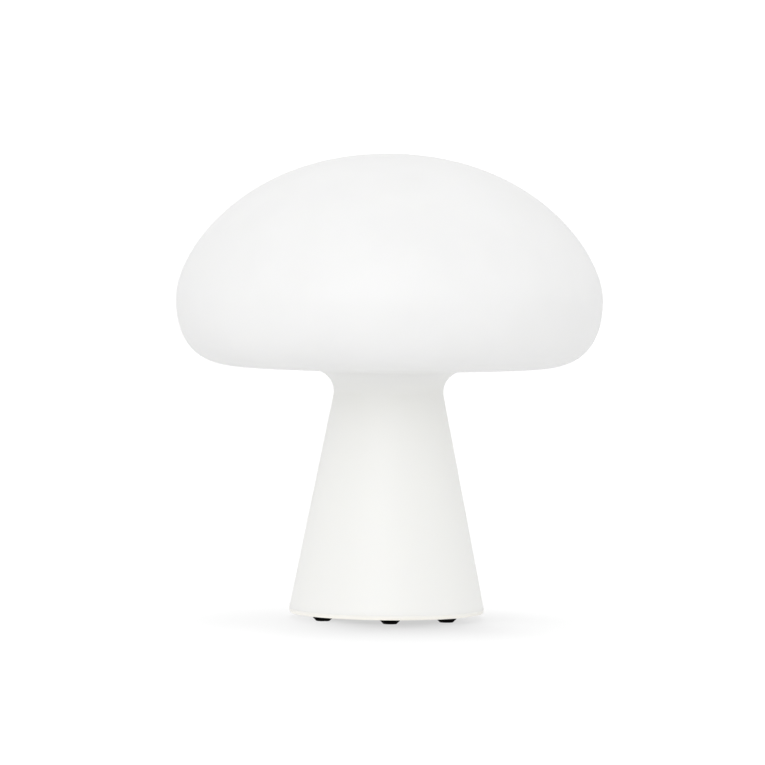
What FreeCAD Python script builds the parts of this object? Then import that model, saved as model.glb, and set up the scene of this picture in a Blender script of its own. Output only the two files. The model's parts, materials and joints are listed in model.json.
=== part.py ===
import FreeCAD, Part
import math
import os

# Cordless mushroom table lamp. Millimetres, +Z up, origin on the table under the middle of the lamp.
# The front is -Y. Bearings are counted from the front, positive towards +X.

# Glass body: a domed cap and a conical stem, blown in one piece and open at the bottom
cap_radius = 110.0
glass_top = 239.0
widest_height = 164.0
crown_handle = 73.8  # how far the top runs nearly level
crown_drop = 25.0  # how far the side of the crown runs nearly upright
underside_radius = 77.2  # where the flat underside turns up into the shoulder
underside_rise = 2.63  # degrees
shoulder_drop = 33.7
shoulder_reach = 8.7
neck_radius = 28.34
neck_height = 116.35
neck_fillet = 10.95
stem_taper = 11.25  # degrees from upright
glass_wall = 3.0
glass_outer_round = 0.8
glass_inner_round = 0.8

# Feet: tapered rubber studs glued in shallow recesses
foot_height = 2.3  # below the base plate
foot_recess = 0.9
foot_bottom_radius = 3.4
foot_radius = 5.05
foot_edge_round = 0.3
foot_margin = 1.37  # from the rim's rounding
foot_bearings = (-154.0, -103.0, -49.5, 2.5, 46.0, 103.0, 154.0)
foot_fit = 0.15

# Base plate: moulded floor with a rounded rim that shows below the glass
floor_thickness = 2.3
rim_height = 1.2
rim_setback = 0.5  # from the glass cone
rim_round = 0.85
spigot_height = 4.4  # above the floor
spigot_wall = 3.5
spigot_gap = 0.4  # to the glass, at the spigot's top
rib_count = 12
rib_width = 1.5
rib_height = 3.6
dish_margin = 2.6  # round the button
dish_depth = 0.6

# Gasket between glass and base
gasket_thickness = 0.3
gasket_setback = 0.1  # from the rim
gasket_lip = 0.7  # how far its wedge stays below the spigot's top
seat_gap = 0.05  # soft pieces against the glass

# Clamp: screws from below draw a ring down on a rubber collar, which swells against the glass
collar_height = 7.0
clamp_ring_thickness = 3.0
clamp_ring_gap = 0.6
clamp_count = 3
clamp_travel = 1.0
clamp_edge = 3.5  # from the screw circle to the ring's bore
clamp_bevel = 0.5
clamp_boss_gap = 0.6  # to the collar

# Screws
screw_radius = 1.5
screw_head_radius = 2.75
screw_head_height = 1.9
screw_socket_radius = 1.2
screw_socket_depth = 1.1
screw_fit = 0.05
boss_wall = 1.95
head_sink = 2.4  # depth of the counterbores in the underside
head_room = 0.3

# Ballast ring
ballast_thickness = 5.0
ballast_bore_gap = 2.1  # behind the charging pocket
ballast_gap = 0.65  # to the clamp's bosses
ballast_boss_gap = 0.2
ballast_bevel = 0.6

# Chassis: an upturned dish that carries the column and the control board
chassis_setback = 0.4  # from the ballast ring's edge
chassis_wall = 1.8
chassis_height = 11.4  # room below the deck
deck_thickness = 2.5
deck_bevel = 0.8
deck_rib_count = 8
deck_rib_width = 1.4
deck_rib_height = 3.2
skirt_gap = 0.6
post_inset = 6.0  # from the chassis's edge
chassis_count = 4
post_radius = 4.6
chassis_screw_depth = 4.0  # into the base plate's bosses

# Control board
board_room = 1.65  # to the deck's bosses
board_thickness = 1.6
board_gap = 5.4  # below the deck
board_screw_inset = 3.0
board_screw_count = 3
standoff_radius = 2.5
board_screw_depth = 3.5

# Power button and its switch
button_radius = 7.0
button_fit = 0.2
button_flange = 1.6
button_flange_thickness = 1.0
button_lift = 0.15  # flange above the floor at rest
button_guide_wall = 0.8
button_guide_height = 2.8
button_post_radius = 2.4
button_dish = 0.4
press_travel = 0.5
press_gap = 0.05  # button post to switch plunger
switch_width = 6.0
switch_height = 3.5
switch_skin = 0.8
switch_cavity_radius = 2.4
plunger_radius = 1.75
plunger_flange_radius = 2.2
plunger_flange_thickness = 0.55
plunger_reach = 1.5  # below the switch body
plunger_fit = 0.05

# Charging socket, in a pocket that opens downwards behind the button
pocket_width = 13.4
pocket_depth = 7.4
pocket_height = 5.5
pocket_corner = 3.4
pocket_wall = 1.2
socket_width = 8.94
socket_depth = 3.26
socket_corner = 1.6
socket_skin = 0.3
socket_back = 1.5
socket_fit = 0.1
tongue_width = 6.7
tongue_thickness = 0.7
tongue_setback = 0.8

# Charge light, beside the pocket
pipe_gap = 0.65
pipe_radius = 1.25
pipe_flange_radius = 1.9
pipe_flange_thickness = 0.8
pipe_boss_wall = 1.1
pipe_boss_height = 3.4
pipe_fit = 0.1
pipe_recess = 0.2
indicator_width = 1.6
indicator_height = 0.8

# Battery: two cells standing side by side in the column
cell_radius = 9.2
cell_length = 64.4
cell_gap = 0.8
cell_nub_radius = 2.8
cell_nub_height = 0.8
cell_round = 0.8
cell_groove_depth = 0.45  # crimped round the can
cell_groove_width = 1.6
cell_groove_drop = 3.4  # below the can's top
strip_width = 8.0
strip_thickness = 0.3
strip_end_round = 3.92  # just short of half the strip's width
strip_tongue_width = 4.0
strip_tongue_gap = 0.5  # to the lead's bend
holder_plate = 2.5
holder_grip = 5.0
holder_fit = 0.15
notch_width = 5.2
notch_start = 7.0

# Light column and the light source on it
column_room = 0.8  # round the cells
column_wall = 2.0
ear_radius = 4.0
ear_height = 2.2
ear_offset = 3.0  # from the column to its screws
ear_count = 4
ear_screw_depth = 6.0
lead_room = 1.7
spigot_length = 5.0
sink_gap = 2.9  # to the glass
sink_height = 6.0
sink_plate = 1.5
sink_bevel = 0.5
fin_slots = 24
fin_gap = 1.8
fin_depth = 4.4
set_screw_count = 3
set_screw_radius = 1.25
set_screw_head_radius = 2.0
set_screw_head_height = 1.4
set_screw_depth = 3.5
led_board_radius = 15.0
led_board_thickness = 1.6
led_screw_circle = 12.6
led_screw_count = 3
led_screw_depth = 3.0
led_rings = ((6, 3.9), (12, 8.6))  # how many chips on what radius
chip_width = 2.8
chip_length = 2.2
chip_height = 0.7
dome_radius = 18.2
dome_height = 16.0
dome_wall = 1.5
dome_lip = 0.8

# Internal wires
battery_lead_radius = 0.7
led_lead_radius = 0.6
led_lead_spacing = 2.6
led_lead_fit = 0.6  # round each wire, where it goes through
led_lead_corner = 1.08  # of the hole
lead_inset = 5.1  # from the column's wall
lead_bend = 3.0
led_lead_bend = 1.8
led_pad_length = 1.5

# Parts on the control board
inductor_size = 7.0
inductor_height = 4.0
inductor_corner = 1.0
inductor_place = (8.6, -6.0)
winding_radius = 1.6
winding_sink = 0.6
driver_size = (5.0, 5.0, 1.0)
driver_place = (-8.0, 4.6)
charger_size = (4.0, 6.0, 1.2)
charger_place = (3.4, 6.8)
capacitor_size = (3.2, 1.6, 1.4)
capacitor_place = (-9.6, -3.0)
capacitor_count = 4
capacitor_pitch = 2.6

# Heights that follow from the sizes above
base_bottom = foot_height
rim_top = base_bottom + rim_height
floor_top = base_bottom + floor_thickness
glass_foot = rim_top + gasket_thickness
spigot_top = floor_top + spigot_height
collar_top = spigot_top + collar_height
clamp_top = collar_top + clamp_ring_thickness
ballast_top = floor_top + ballast_thickness
deck_bottom = ballast_top + chassis_height
deck_top = deck_bottom + deck_thickness
board_top = deck_bottom - board_gap
board_bottom = board_top - board_thickness
switch_bottom = board_bottom - switch_height
plunger_tip = switch_bottom - plunger_reach
pocket_roof = base_bottom + pocket_height
lower_strip_bottom = deck_top + holder_plate
cell_bottom = lower_strip_bottom + strip_thickness
cell_top = cell_bottom + cell_length
upper_strip_bottom = cell_top + cell_nub_height
upper_strip_top = upper_strip_bottom + strip_thickness
sink_spigot_bottom = upper_strip_top + holder_plate + lead_room
column_top = sink_spigot_bottom + spigot_length
sink_top = column_top + sink_height
led_board_top = sink_top + led_board_thickness

# The glass outline, and radii that follow from it
taper = math.radians(stem_taper)
rise = math.radians(underside_rise)


def stem_radius(height, inset):
    """Radius of the stem's cone, moved in by the given wall."""
    centre = neck_radius + neck_fillet
    touch_radius = centre - (neck_fillet + inset) * math.cos(taper)
    touch_height = neck_height - (neck_fillet + inset) * math.sin(taper)
    return touch_radius + (touch_height - height) * math.tan(taper)


# Radii and places in the base, from the glass inwards
rim_radius = stem_radius(glass_foot, 0.0) - rim_setback
foot_circle = rim_radius - rim_round - foot_margin - foot_fit - foot_radius
spigot_radius = stem_radius(spigot_top, glass_wall) - spigot_gap
spigot_bore = spigot_radius - spigot_wall
boss_radius = screw_radius + boss_wall
clamp_circle = spigot_bore - clamp_boss_gap - boss_radius
ballast_radius = clamp_circle - boss_radius - ballast_gap
chassis_radius = ballast_radius - chassis_setback
chassis_circle = chassis_radius - post_inset
guide_radius = button_radius + button_flange + button_fit
pocket_offset = guide_radius + button_guide_wall + pocket_wall + pocket_depth / 2
ballast_bore_radius = pocket_offset + pocket_depth / 2 + pocket_wall + ballast_bore_gap
pipe_boss_radius = pipe_radius + pipe_fit + pipe_boss_wall
pipe_x = pocket_width / 2 + pocket_wall + pipe_gap + pipe_boss_radius

# Radii and places round the battery
cell_spacing = 2 * cell_radius + cell_gap
column_inner_radius = cell_spacing / 2 + cell_radius + column_room
column_radius = column_inner_radius + column_wall
ear_circle = column_radius + ear_offset
board_radius = ear_circle - boss_radius - board_room
board_circle = board_radius - board_screw_inset
sink_radius = stem_radius(sink_top, glass_wall) - sink_gap
lead_y = column_inner_radius - lead_inset
strip_tongue_reach = lead_y - lead_bend - strip_tongue_gap
short_lead_y = notch_start + battery_lead_radius + lead_bend + strip_tongue_gap
led_notch_start = lead_y - led_lead_bend


def at(x, y, z):
    return FreeCAD.Vector(x, y, z)


def on_circle(radius, bearing):
    angle = math.radians(bearing)
    return radius * math.sin(angle), -radius * math.cos(angle)


def bearings(count, first):
    return [first + 360.0 * i / count for i in range(count)]


def disc(radius, low, high, x=0.0, y=0.0):
    return Part.makeCylinder(radius, high - low, at(x, y, low))


def ring(inner, outer, low, high, x=0.0, y=0.0):
    return disc(outer, low, high, x, y).cut(disc(inner, low, high, x, y))


def block(width, depth, low, high, x=0.0, y=0.0):
    return Part.makeBox(width, depth, high - low, at(x - width / 2, y - depth / 2, low))


def bevelled_disc(radius, low, high, bevel):
    return turned_outline([
        (0, low),
        (radius - bevel, low),
        (radius, low + bevel),
        (radius, high - bevel),
        (radius - bevel, high),
        (0, high),
    ])


def rounded_block(width, depth, corner, low, high, x=0.0, y=0.0):
    body = block(width, depth, low, high, x, y)
    upright = [e for e in body.Edges if abs(e.Vertexes[0].Z - e.Vertexes[1].Z) > 0.5 * (high - low)]
    return body.makeFillet(corner, upright)


def line(start, end):
    return Part.LineSegment(at(start[0], 0, start[1]), at(end[0], 0, end[1])).toShape()


def arc(start, middle, end):
    points = [at(p[0], 0, p[1]) for p in (start, middle, end)]
    return Part.Arc(*points).toShape()


def quarter(before, corner, after):
    """Quarter circle that rounds a square corner, from the point before it to the point after it."""
    centre = (before[0] + after[0] - corner[0], before[1] + after[1] - corner[1])
    middle = [c + (k - c) * math.sqrt(0.5) for c, k in zip(centre, corner)]
    return arc(before, middle, after)


def curve(*poles):
    bezier = Part.BezierCurve()
    bezier.setPoles([at(p[0], 0, p[1]) for p in poles])
    return bezier.toShape()


def turned(edges):
    """Solid turned about the lamp's axis from edges that close an outline of (radius, height)."""
    face = Part.Face(Part.Wire(edges))
    return face.revolve(at(0, 0, 0), at(0, 0, 1), 360)


def turned_outline(points):
    closed = list(points) + [points[0]]
    return turned([line(a, b) for a, b in zip(closed, closed[1:])])


def round_edges(body, radius, height, edge_radius):
    """Rounds the circles at one height whose radius is the one given."""
    picked = []
    for edge in body.Edges:
        middle = edge.BoundBox
        level = abs(middle.ZMax - height) < 1e-4 and abs(middle.ZMin - height) < 1e-4
        if level and abs(middle.XMax - edge_radius) < 1e-3:
            picked.append(edge)
    return body.makeFillet(radius, picked)


def screw(x, y, seat, end):
    """Screw along Z: its head stands on the seat, and its shank runs from there to the end."""
    away = 1.0 if seat > end else -1.0
    head_end = seat + away * screw_head_height
    shank = disc(screw_radius, min(seat, end), max(seat, end), x, y)
    head = disc(screw_head_radius, min(seat, head_end), max(seat, head_end), x, y)
    socket_end = head_end - away * screw_socket_depth
    low, high = min(head_end, socket_end), max(head_end, socket_end)
    hexagon = Part.makePolygon([at(x + screw_socket_radius * math.cos(math.radians(a)),
                                   y + screw_socket_radius * math.sin(math.radians(a)), low)
                                for a in range(0, 361, 60)])
    socket = Part.Face(hexagon).extrude(at(0, 0, high - low))
    return head.fuse(shank).cut(socket)


def group(solids):
    return Part.makeCompound(solids)


def fused(first, others):
    return first.multiFuse(others).removeSplitter()


def glass_outline(inset):
    """Edges from the top of the cap to the foot of the stem, with the wall moved in by inset."""
    top = glass_top - inset
    side = cap_radius - inset
    centre = neck_radius + neck_fillet
    bend = neck_fillet + inset
    bend_start = (centre - bend * math.sin(rise), neck_height + bend * math.cos(rise))
    middle_angle = math.pi - (math.pi / 2 - rise - taper) / 2 + taper
    bend_middle = (centre + bend * math.cos(middle_angle), neck_height + bend * math.sin(middle_angle))
    bend_end = (centre - bend * math.cos(taper), neck_height - bend * math.sin(taper))
    flat_end_radius = underside_radius - inset * math.sin(rise)
    flat_end = (flat_end_radius, bend_start[1] + (flat_end_radius - bend_start[0]) * math.tan(rise))
    crown_scale = (top - widest_height) / (glass_top - widest_height)
    shoulder_scale = 1.0 - inset / shoulder_drop
    crown = curve((0, top), (crown_handle * side / cap_radius, top),
                  (side, widest_height + crown_drop * crown_scale), (side, widest_height))
    shoulder = curve((side, widest_height), (side, widest_height - shoulder_drop * shoulder_scale),
                     (flat_end[0] + shoulder_reach, flat_end[1] + shoulder_reach * math.tan(rise)), flat_end)
    underside = line(flat_end, bend_start)
    neck = arc(bend_start, bend_middle, bend_end)
    stem = line(bend_end, (stem_radius(glass_foot, inset), glass_foot))
    return [crown, shoulder, underside, neck, stem]


def glass_body():
    outer = glass_outline(0.0)
    inner = glass_outline(glass_wall)
    outer_radius = stem_radius(glass_foot, 0.0)
    inner_radius = stem_radius(glass_foot, glass_wall)
    foot = line((outer_radius, glass_foot), (inner_radius, glass_foot))
    crown = line((0, glass_top - glass_wall), (0, glass_top))
    body = turned(outer + [foot] + inner[::-1] + [crown])
    body = round_edges(body, glass_outer_round, glass_foot, outer_radius)
    return round_edges(body, glass_inner_round, glass_foot, inner_radius)


def rim_gasket():
    wedge_top = spigot_top - gasket_lip
    return turned_outline([
        (spigot_radius + seat_gap, rim_top),
        (rim_radius - gasket_setback, rim_top),
        (rim_radius - gasket_setback, glass_foot),
        (stem_radius(glass_foot, glass_wall) - seat_gap, glass_foot),
        (stem_radius(wedge_top, glass_wall) - seat_gap, wedge_top),
        (spigot_radius + seat_gap, wedge_top),
    ])


def base_blank():
    """Floor, rounded rim and the spigot that centres the glass."""
    face = rim_radius - rim_round
    side_low = base_bottom + rim_round
    return turned([
        line((0, base_bottom), (face, base_bottom)),
        quarter((face, base_bottom), (rim_radius, base_bottom), (rim_radius, side_low)),
        line((rim_radius, side_low), (rim_radius, rim_top)),
        line((rim_radius, rim_top), (spigot_radius, rim_top)),
        line((spigot_radius, rim_top), (spigot_radius, spigot_top)),
        line((spigot_radius, spigot_top), (spigot_bore, spigot_top)),
        line((spigot_bore, spigot_top), (spigot_bore, floor_top)),
        line((spigot_bore, floor_top), (0, floor_top)),
        line((0, floor_top), (0, base_bottom)),
    ])


def clamp_points():
    return [on_circle(clamp_circle, b) for b in bearings(clamp_count, 180.0)]


def chassis_points():
    return [on_circle(chassis_circle, b) for b in bearings(chassis_count, 180.0 / chassis_count)]


def base_additions():
    """Bosses, ribs, the button's guide and the charging pocket's walls, on the floor."""
    added = [disc(boss_radius, floor_top, collar_top - clamp_travel, x, y) for x, y in clamp_points()]
    boss_top = ballast_top - ballast_boss_gap
    added += [disc(boss_radius, floor_top, boss_top, x, y) for x, y in chassis_points()]
    rib_inner = ballast_radius + head_room
    rib_length = spigot_bore + rib_width - rib_inner
    for bearing in bearings(rib_count, 180.0 / rib_count):
        rib = block(rib_width, rib_length, floor_top, floor_top + rib_height, 0, -rib_inner - rib_length / 2)
        rib.rotate(at(0, 0, 0), at(0, 0, 1), bearing)
        added.append(rib)
    added.append(disc(guide_radius + button_guide_wall, floor_top, floor_top + button_guide_height))
    added.append(rounded_block(pocket_width + 2 * pocket_wall, pocket_depth + 2 * pocket_wall,
                               pocket_corner + pocket_wall, floor_top, pocket_roof + pocket_wall,
                               0, pocket_offset))
    added.append(disc(pipe_boss_radius, floor_top, floor_top + pipe_boss_height, pipe_x, pocket_offset))
    return added


def base_cuts():
    """Holes, counterbores, recesses and the pocket."""
    cuts = []
    for x, y in clamp_points():
        cuts.append(disc(screw_radius + screw_fit, base_bottom, collar_top, x, y))
        cuts.append(disc(screw_head_radius + head_room, base_bottom, base_bottom + head_sink, x, y))
    for x, y in chassis_points():
        hole_bottom = ballast_top - chassis_screw_depth - screw_fit
        cuts.append(disc(screw_radius + screw_fit, hole_bottom, ballast_top, x, y))
    for bearing in foot_bearings:
        x, y = on_circle(foot_circle, bearing)
        cuts.append(disc(foot_radius + foot_fit, base_bottom, base_bottom + foot_recess, x, y))
    dish_radius = button_radius + dish_margin
    cuts.append(Part.makeCone(dish_radius, dish_radius - dish_depth, dish_depth, at(0, 0, base_bottom)))
    cuts.append(disc(button_radius + button_fit, base_bottom, floor_top))
    cuts.append(disc(guide_radius, floor_top, floor_top + button_guide_height))
    cuts.append(rounded_block(pocket_width, pocket_depth, pocket_corner, base_bottom, pocket_roof,
                              0, pocket_offset))
    cuts.append(rounded_block(socket_width + 2 * socket_fit, socket_depth + 2 * socket_fit,
                              socket_corner + socket_fit, pocket_roof, pocket_roof + pocket_wall,
                              0, pocket_offset))
    pipe_boss_top = floor_top + pipe_boss_height
    cuts.append(disc(pipe_radius + pipe_fit, base_bottom, pipe_boss_top, pipe_x, pocket_offset))
    return cuts


def base_plate():
    body = fused(base_blank(), base_additions())
    for cutter in base_cuts():
        body = body.cut(cutter)
    return body


def foot(bearing):
    x, y = on_circle(foot_circle, bearing)
    taper_top = foot_radius - foot_bottom_radius
    body = turned_outline([
        (0, 0),
        (foot_bottom_radius, 0),
        (foot_radius, taper_top),
        (foot_radius, foot_height + foot_recess),
        (0, foot_height + foot_recess),
    ])
    body = round_edges(body, foot_edge_round, 0.0, foot_bottom_radius)
    body.translate(at(x, y, 0))
    return body


def clamp_collar():
    return turned_outline([
        (spigot_bore, spigot_top),
        (stem_radius(spigot_top, glass_wall) - seat_gap, spigot_top),
        (stem_radius(collar_top, glass_wall) - seat_gap, collar_top),
        (spigot_bore, collar_top),
    ])


def clamp_ring():
    outer = stem_radius(clamp_top, glass_wall) - clamp_ring_gap
    body = bevelled_disc(outer, collar_top, clamp_top, clamp_bevel)
    body = body.cut(disc(clamp_circle - clamp_edge, collar_top, clamp_top))
    for x, y in clamp_points():
        body = body.cut(disc(screw_radius + screw_fit, collar_top, clamp_top, x, y))
    return body


def clamp_screws():
    seat = base_bottom + head_sink
    return group([screw(x, y, seat, clamp_top) for x, y in clamp_points()])


def ballast_ring():
    body = bevelled_disc(ballast_radius, floor_top, ballast_top, ballast_bevel)
    body = body.cut(disc(ballast_bore_radius, floor_top, ballast_top))
    for x, y in chassis_points():
        body = body.cut(disc(boss_radius + head_room, floor_top, ballast_top, x, y))
    return body


def ear_points():
    return [on_circle(ear_circle, b) for b in bearings(ear_count, 0.0)]


def board_points():
    return [on_circle(board_circle, b) for b in bearings(board_screw_count, 90.0)]


def lead_slots(low, high):
    """Where the wires pass down through a deck or a holder, in front of the axis and behind it."""
    length = column_inner_radius - notch_start - lead_bend
    y = notch_start + length / 2
    return [block(notch_width, length, low, high, 0, -y), block(notch_width, length, low, high, 0, y)]


def deck_ribs():
    """Stiffening ribs beneath the deck, from the skirt to beside the control board."""
    inner = board_radius + board_room
    length = chassis_radius - chassis_wall / 2 - inner
    ribs = []
    low = deck_bottom - deck_rib_height
    for bearing in bearings(deck_rib_count, 180.0 / deck_rib_count):
        rib = block(deck_rib_width, length, low, deck_bottom, 0, -inner - length / 2)
        rib.rotate(at(0, 0, 0), at(0, 0, 1), bearing)
        ribs.append(rib)
    return ribs


def chassis():
    skirt_bottom = ballast_top + skirt_gap
    body = turned_outline([
        (0, skirt_bottom),
        (chassis_radius, skirt_bottom),
        (chassis_radius, deck_top - deck_bevel),
        (chassis_radius - deck_bevel, deck_top),
        (0, deck_top),
    ])
    body = body.cut(disc(chassis_radius - chassis_wall, skirt_bottom, deck_bottom))
    parts = [disc(post_radius, ballast_top, deck_bottom, x, y) for x, y in chassis_points()]
    parts += [disc(boss_radius, deck_top - ear_screw_depth - boss_wall, deck_bottom, x, y)
              for x, y in ear_points()]
    parts += [disc(standoff_radius, board_top, deck_bottom, x, y) for x, y in board_points()]
    body = fused(body, parts + deck_ribs())
    for x, y in chassis_points():
        body = body.cut(disc(screw_radius + screw_fit, ballast_top, deck_top, x, y))
    for x, y in ear_points():
        body = body.cut(disc(screw_radius + screw_fit, deck_top - ear_screw_depth, deck_top, x, y))
    for x, y in board_points():
        body = body.cut(disc(screw_radius + screw_fit, board_top, board_top + board_screw_depth, x, y))
    for slot in lead_slots(deck_bottom, deck_top):
        body = body.cut(slot)
    return body


def chassis_screws():
    end = ballast_top - chassis_screw_depth
    return group([screw(x, y, deck_top, end) for x, y in chassis_points()])


def control_board():
    body = disc(board_radius, board_bottom, board_top)
    for x, y in board_points():
        body = body.cut(disc(screw_radius + screw_fit, board_bottom, board_top, x, y))
    return body


def board_screws():
    end = board_top + board_screw_depth - screw_fit
    return group([screw(x, y, board_bottom, end) for x, y in board_points()])


def inductor():
    x, y = inductor_place
    top = board_top + inductor_height
    core = rounded_block(inductor_size, inductor_size, inductor_corner, board_top, top, x, y)
    return core.cut(disc(winding_radius, top - winding_sink, top, x, y))


def board_chips():
    chips = []
    for size, place in ((driver_size, driver_place), (charger_size, charger_place)):
        chips.append(block(size[0], size[1], board_top, board_top + size[2], place[0], place[1]))
    return group(chips)


def capacitors():
    width, depth, height = capacitor_size
    x, middle = capacitor_place
    row = [middle + capacitor_pitch * (i - (capacitor_count - 1) / 2) for i in range(capacitor_count)]
    return group([block(width, depth, board_top, board_top + height, x, y) for y in row])


def plunger_flange():
    """Lowest and highest level of the collar that keeps the plunger in the switch."""
    low = switch_bottom + switch_skin + button_lift
    return low, low + plunger_flange_thickness


def switch_body():
    body = block(switch_width, switch_width, switch_bottom, board_bottom)
    cavity_bottom = switch_bottom + switch_skin
    cavity_top = plunger_flange()[1] + press_travel + press_gap
    body = body.cut(disc(plunger_radius + plunger_fit, switch_bottom, cavity_bottom))
    return body.cut(disc(switch_cavity_radius, cavity_bottom, cavity_top))


def switch_plunger():
    flange_bottom, flange_top = plunger_flange()
    stem = disc(plunger_radius, plunger_tip, flange_top)
    return stem.fuse(disc(plunger_flange_radius, flange_bottom, flange_top)).removeSplitter()


def power_button():
    flange_bottom = floor_top + button_lift
    flange_top = flange_bottom + button_flange_thickness
    cap = disc(button_radius, base_bottom, flange_top)
    cap = round_edges(cap, button_dish, base_bottom, button_radius)
    hollow_radius = (button_radius ** 2 + button_dish ** 2) / (2 * button_dish)
    finger = Part.makeSphere(hollow_radius, at(0, 0, base_bottom + button_dish / 2 - hollow_radius))
    body = fused(cap, [
        disc(button_radius + button_flange, flange_bottom, flange_top),
        disc(button_post_radius, flange_bottom, plunger_tip - press_gap),
    ])
    return body.cut(finger)


def charging_socket_shell():
    body = rounded_block(socket_width, socket_depth, socket_corner, pocket_roof, board_bottom,
                         0, pocket_offset)
    mouth = rounded_block(socket_width - 2 * socket_skin, socket_depth - 2 * socket_skin,
                          socket_corner - socket_skin, pocket_roof, board_bottom - socket_back,
                          0, pocket_offset)
    return body.cut(mouth)


def charging_socket_tongue():
    return block(tongue_width, tongue_thickness, pocket_roof + tongue_setback, board_bottom - socket_back,
                 0, pocket_offset)


def indicator_light_pipe():
    flange_bottom = floor_top + pipe_boss_height
    flange_top = flange_bottom + pipe_flange_thickness
    tip = board_bottom - indicator_height - screw_fit
    rod = disc(pipe_radius, base_bottom + pipe_recess, tip, pipe_x, pocket_offset)
    flange = disc(pipe_flange_radius, flange_bottom, flange_top, pipe_x, pocket_offset)
    return rod.fuse(flange).removeSplitter()


def indicator_led():
    return block(indicator_width, indicator_width, board_bottom - indicator_height, board_bottom,
                 pipe_x, pocket_offset)


def cell_points():
    return ((-cell_spacing / 2, 0.0), (cell_spacing / 2, 0.0))


def battery_cell(x, y):
    """Round can with a crimped groove near its top, and the raised contact."""
    face = cell_radius - cell_round
    side_low = cell_bottom + cell_round
    side_high = cell_top - cell_round
    groove = cell_top - cell_groove_drop
    groove_low = groove - cell_groove_width / 2
    groove_high = groove + cell_groove_width / 2
    groove_radius = cell_radius - cell_groove_depth
    body = turned([
        line((0, cell_bottom), (face, cell_bottom)),
        quarter((face, cell_bottom), (cell_radius, cell_bottom), (cell_radius, side_low)),
        line((cell_radius, side_low), (cell_radius, groove_low)),
        arc((cell_radius, groove_low), (groove_radius, groove), (cell_radius, groove_high)),
        line((cell_radius, groove_high), (cell_radius, side_high)),
        quarter((cell_radius, side_high), (cell_radius, cell_top), (face, cell_top)),
        line((face, cell_top), (cell_nub_radius, cell_top)),
        line((cell_nub_radius, cell_top), (cell_nub_radius, upper_strip_bottom)),
        line((cell_nub_radius, upper_strip_bottom), (0, upper_strip_bottom)),
        line((0, upper_strip_bottom), (0, cell_bottom)),
    ])
    body.translate(at(x, y, 0))
    return body


def cell_strip(low, side):
    """Contact strip across both cells, with a tongue that takes the lead."""
    length = cell_spacing + strip_width
    body = rounded_block(length, strip_width, strip_end_round, low, low + strip_thickness)
    tongue = block(strip_tongue_width, strip_tongue_reach, low, low + strip_thickness,
                   0, side * strip_tongue_reach / 2)
    return body.fuse(tongue).removeSplitter()


def cell_holder(low, high, plate_low, plate_high):
    """Round plate with a cup for each cell, notched front and back for the wires."""
    body = disc(column_inner_radius - holder_fit, low, high)
    hollow_low, hollow_high = (plate_high, high) if plate_low == low else (low, plate_low)
    for x, y in cell_points():
        body = body.cut(disc(cell_radius + holder_fit, hollow_low, hollow_high, x, y))
    strip_length = cell_spacing + strip_width + 2 * holder_fit
    body = body.cut(block(strip_length, strip_width + 2 * holder_fit, hollow_low, hollow_high))
    body = body.cut(block(strip_tongue_width + 2 * holder_fit, 2 * notch_start, hollow_low, hollow_high))
    notch_length = column_inner_radius
    for side in (-1, 1):
        y = side * (notch_start + notch_length / 2)
        body = body.cut(block(notch_width, notch_length, low, high, 0, y))
    return body


def cell_holder_lower():
    return cell_holder(deck_top, cell_bottom + holder_grip, deck_top, lower_strip_bottom)


def cell_holder_upper():
    top = upper_strip_top + holder_plate
    return cell_holder(cell_top - holder_grip, top, upper_strip_top, top)


def light_column():
    body = disc(column_radius, deck_top, column_top)
    ears = [disc(ear_radius, deck_top, deck_top + ear_height, x, y) for x, y in ear_points()]
    body = fused(body, ears)
    body = body.cut(disc(column_inner_radius, deck_top, column_top))
    for x, y in ear_points():
        body = body.cut(disc(screw_radius + screw_fit, deck_top, deck_top + ear_height, x, y))
    for hole in set_screw_rods(column_radius + column_wall, set_screw_radius + screw_fit, 0.0):
        body = body.cut(hole)
    return body


def column_screws():
    seat = deck_top + ear_height
    return group([screw(x, y, seat, deck_top - ear_screw_depth + screw_fit) for x, y in ear_points()])


def set_screw_rods(outer, radius, spare):
    """Rods that point at the axis, through the column's wall into the heat sink."""
    height = sink_spigot_bottom + spigot_length / 2
    inner = column_inner_radius - set_screw_depth + spare
    rods = []
    for bearing in bearings(set_screw_count, 180.0):
        x, y = on_circle(1.0, bearing)
        rods.append(Part.makeCylinder(radius, outer - inner, at(x * inner, y * inner, height), at(x, y, 0)))
    return rods


def heat_sink_screws():
    height = sink_spigot_bottom + spigot_length / 2
    screws = []
    for rod, bearing in zip(set_screw_rods(column_radius, set_screw_radius, screw_fit),
                            bearings(set_screw_count, 180.0)):
        x, y = on_circle(1.0, bearing)
        seat = at(x * column_radius, y * column_radius, height)
        head = Part.makeCylinder(set_screw_head_radius, set_screw_head_height, seat, at(x, y, 0))
        flat = column_radius - math.sqrt(column_radius ** 2 - set_screw_head_radius ** 2)
        head.translate(at(x * screw_fit, y * screw_fit, 0))
        neck = Part.makeCylinder(set_screw_radius, flat, seat, at(x, y, 0))
        screws.append(rod.fuse([head, neck]).removeSplitter())
    return group(screws)


def led_screw_points():
    return [on_circle(led_screw_circle, b) for b in bearings(led_screw_count, 180.0)]


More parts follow.
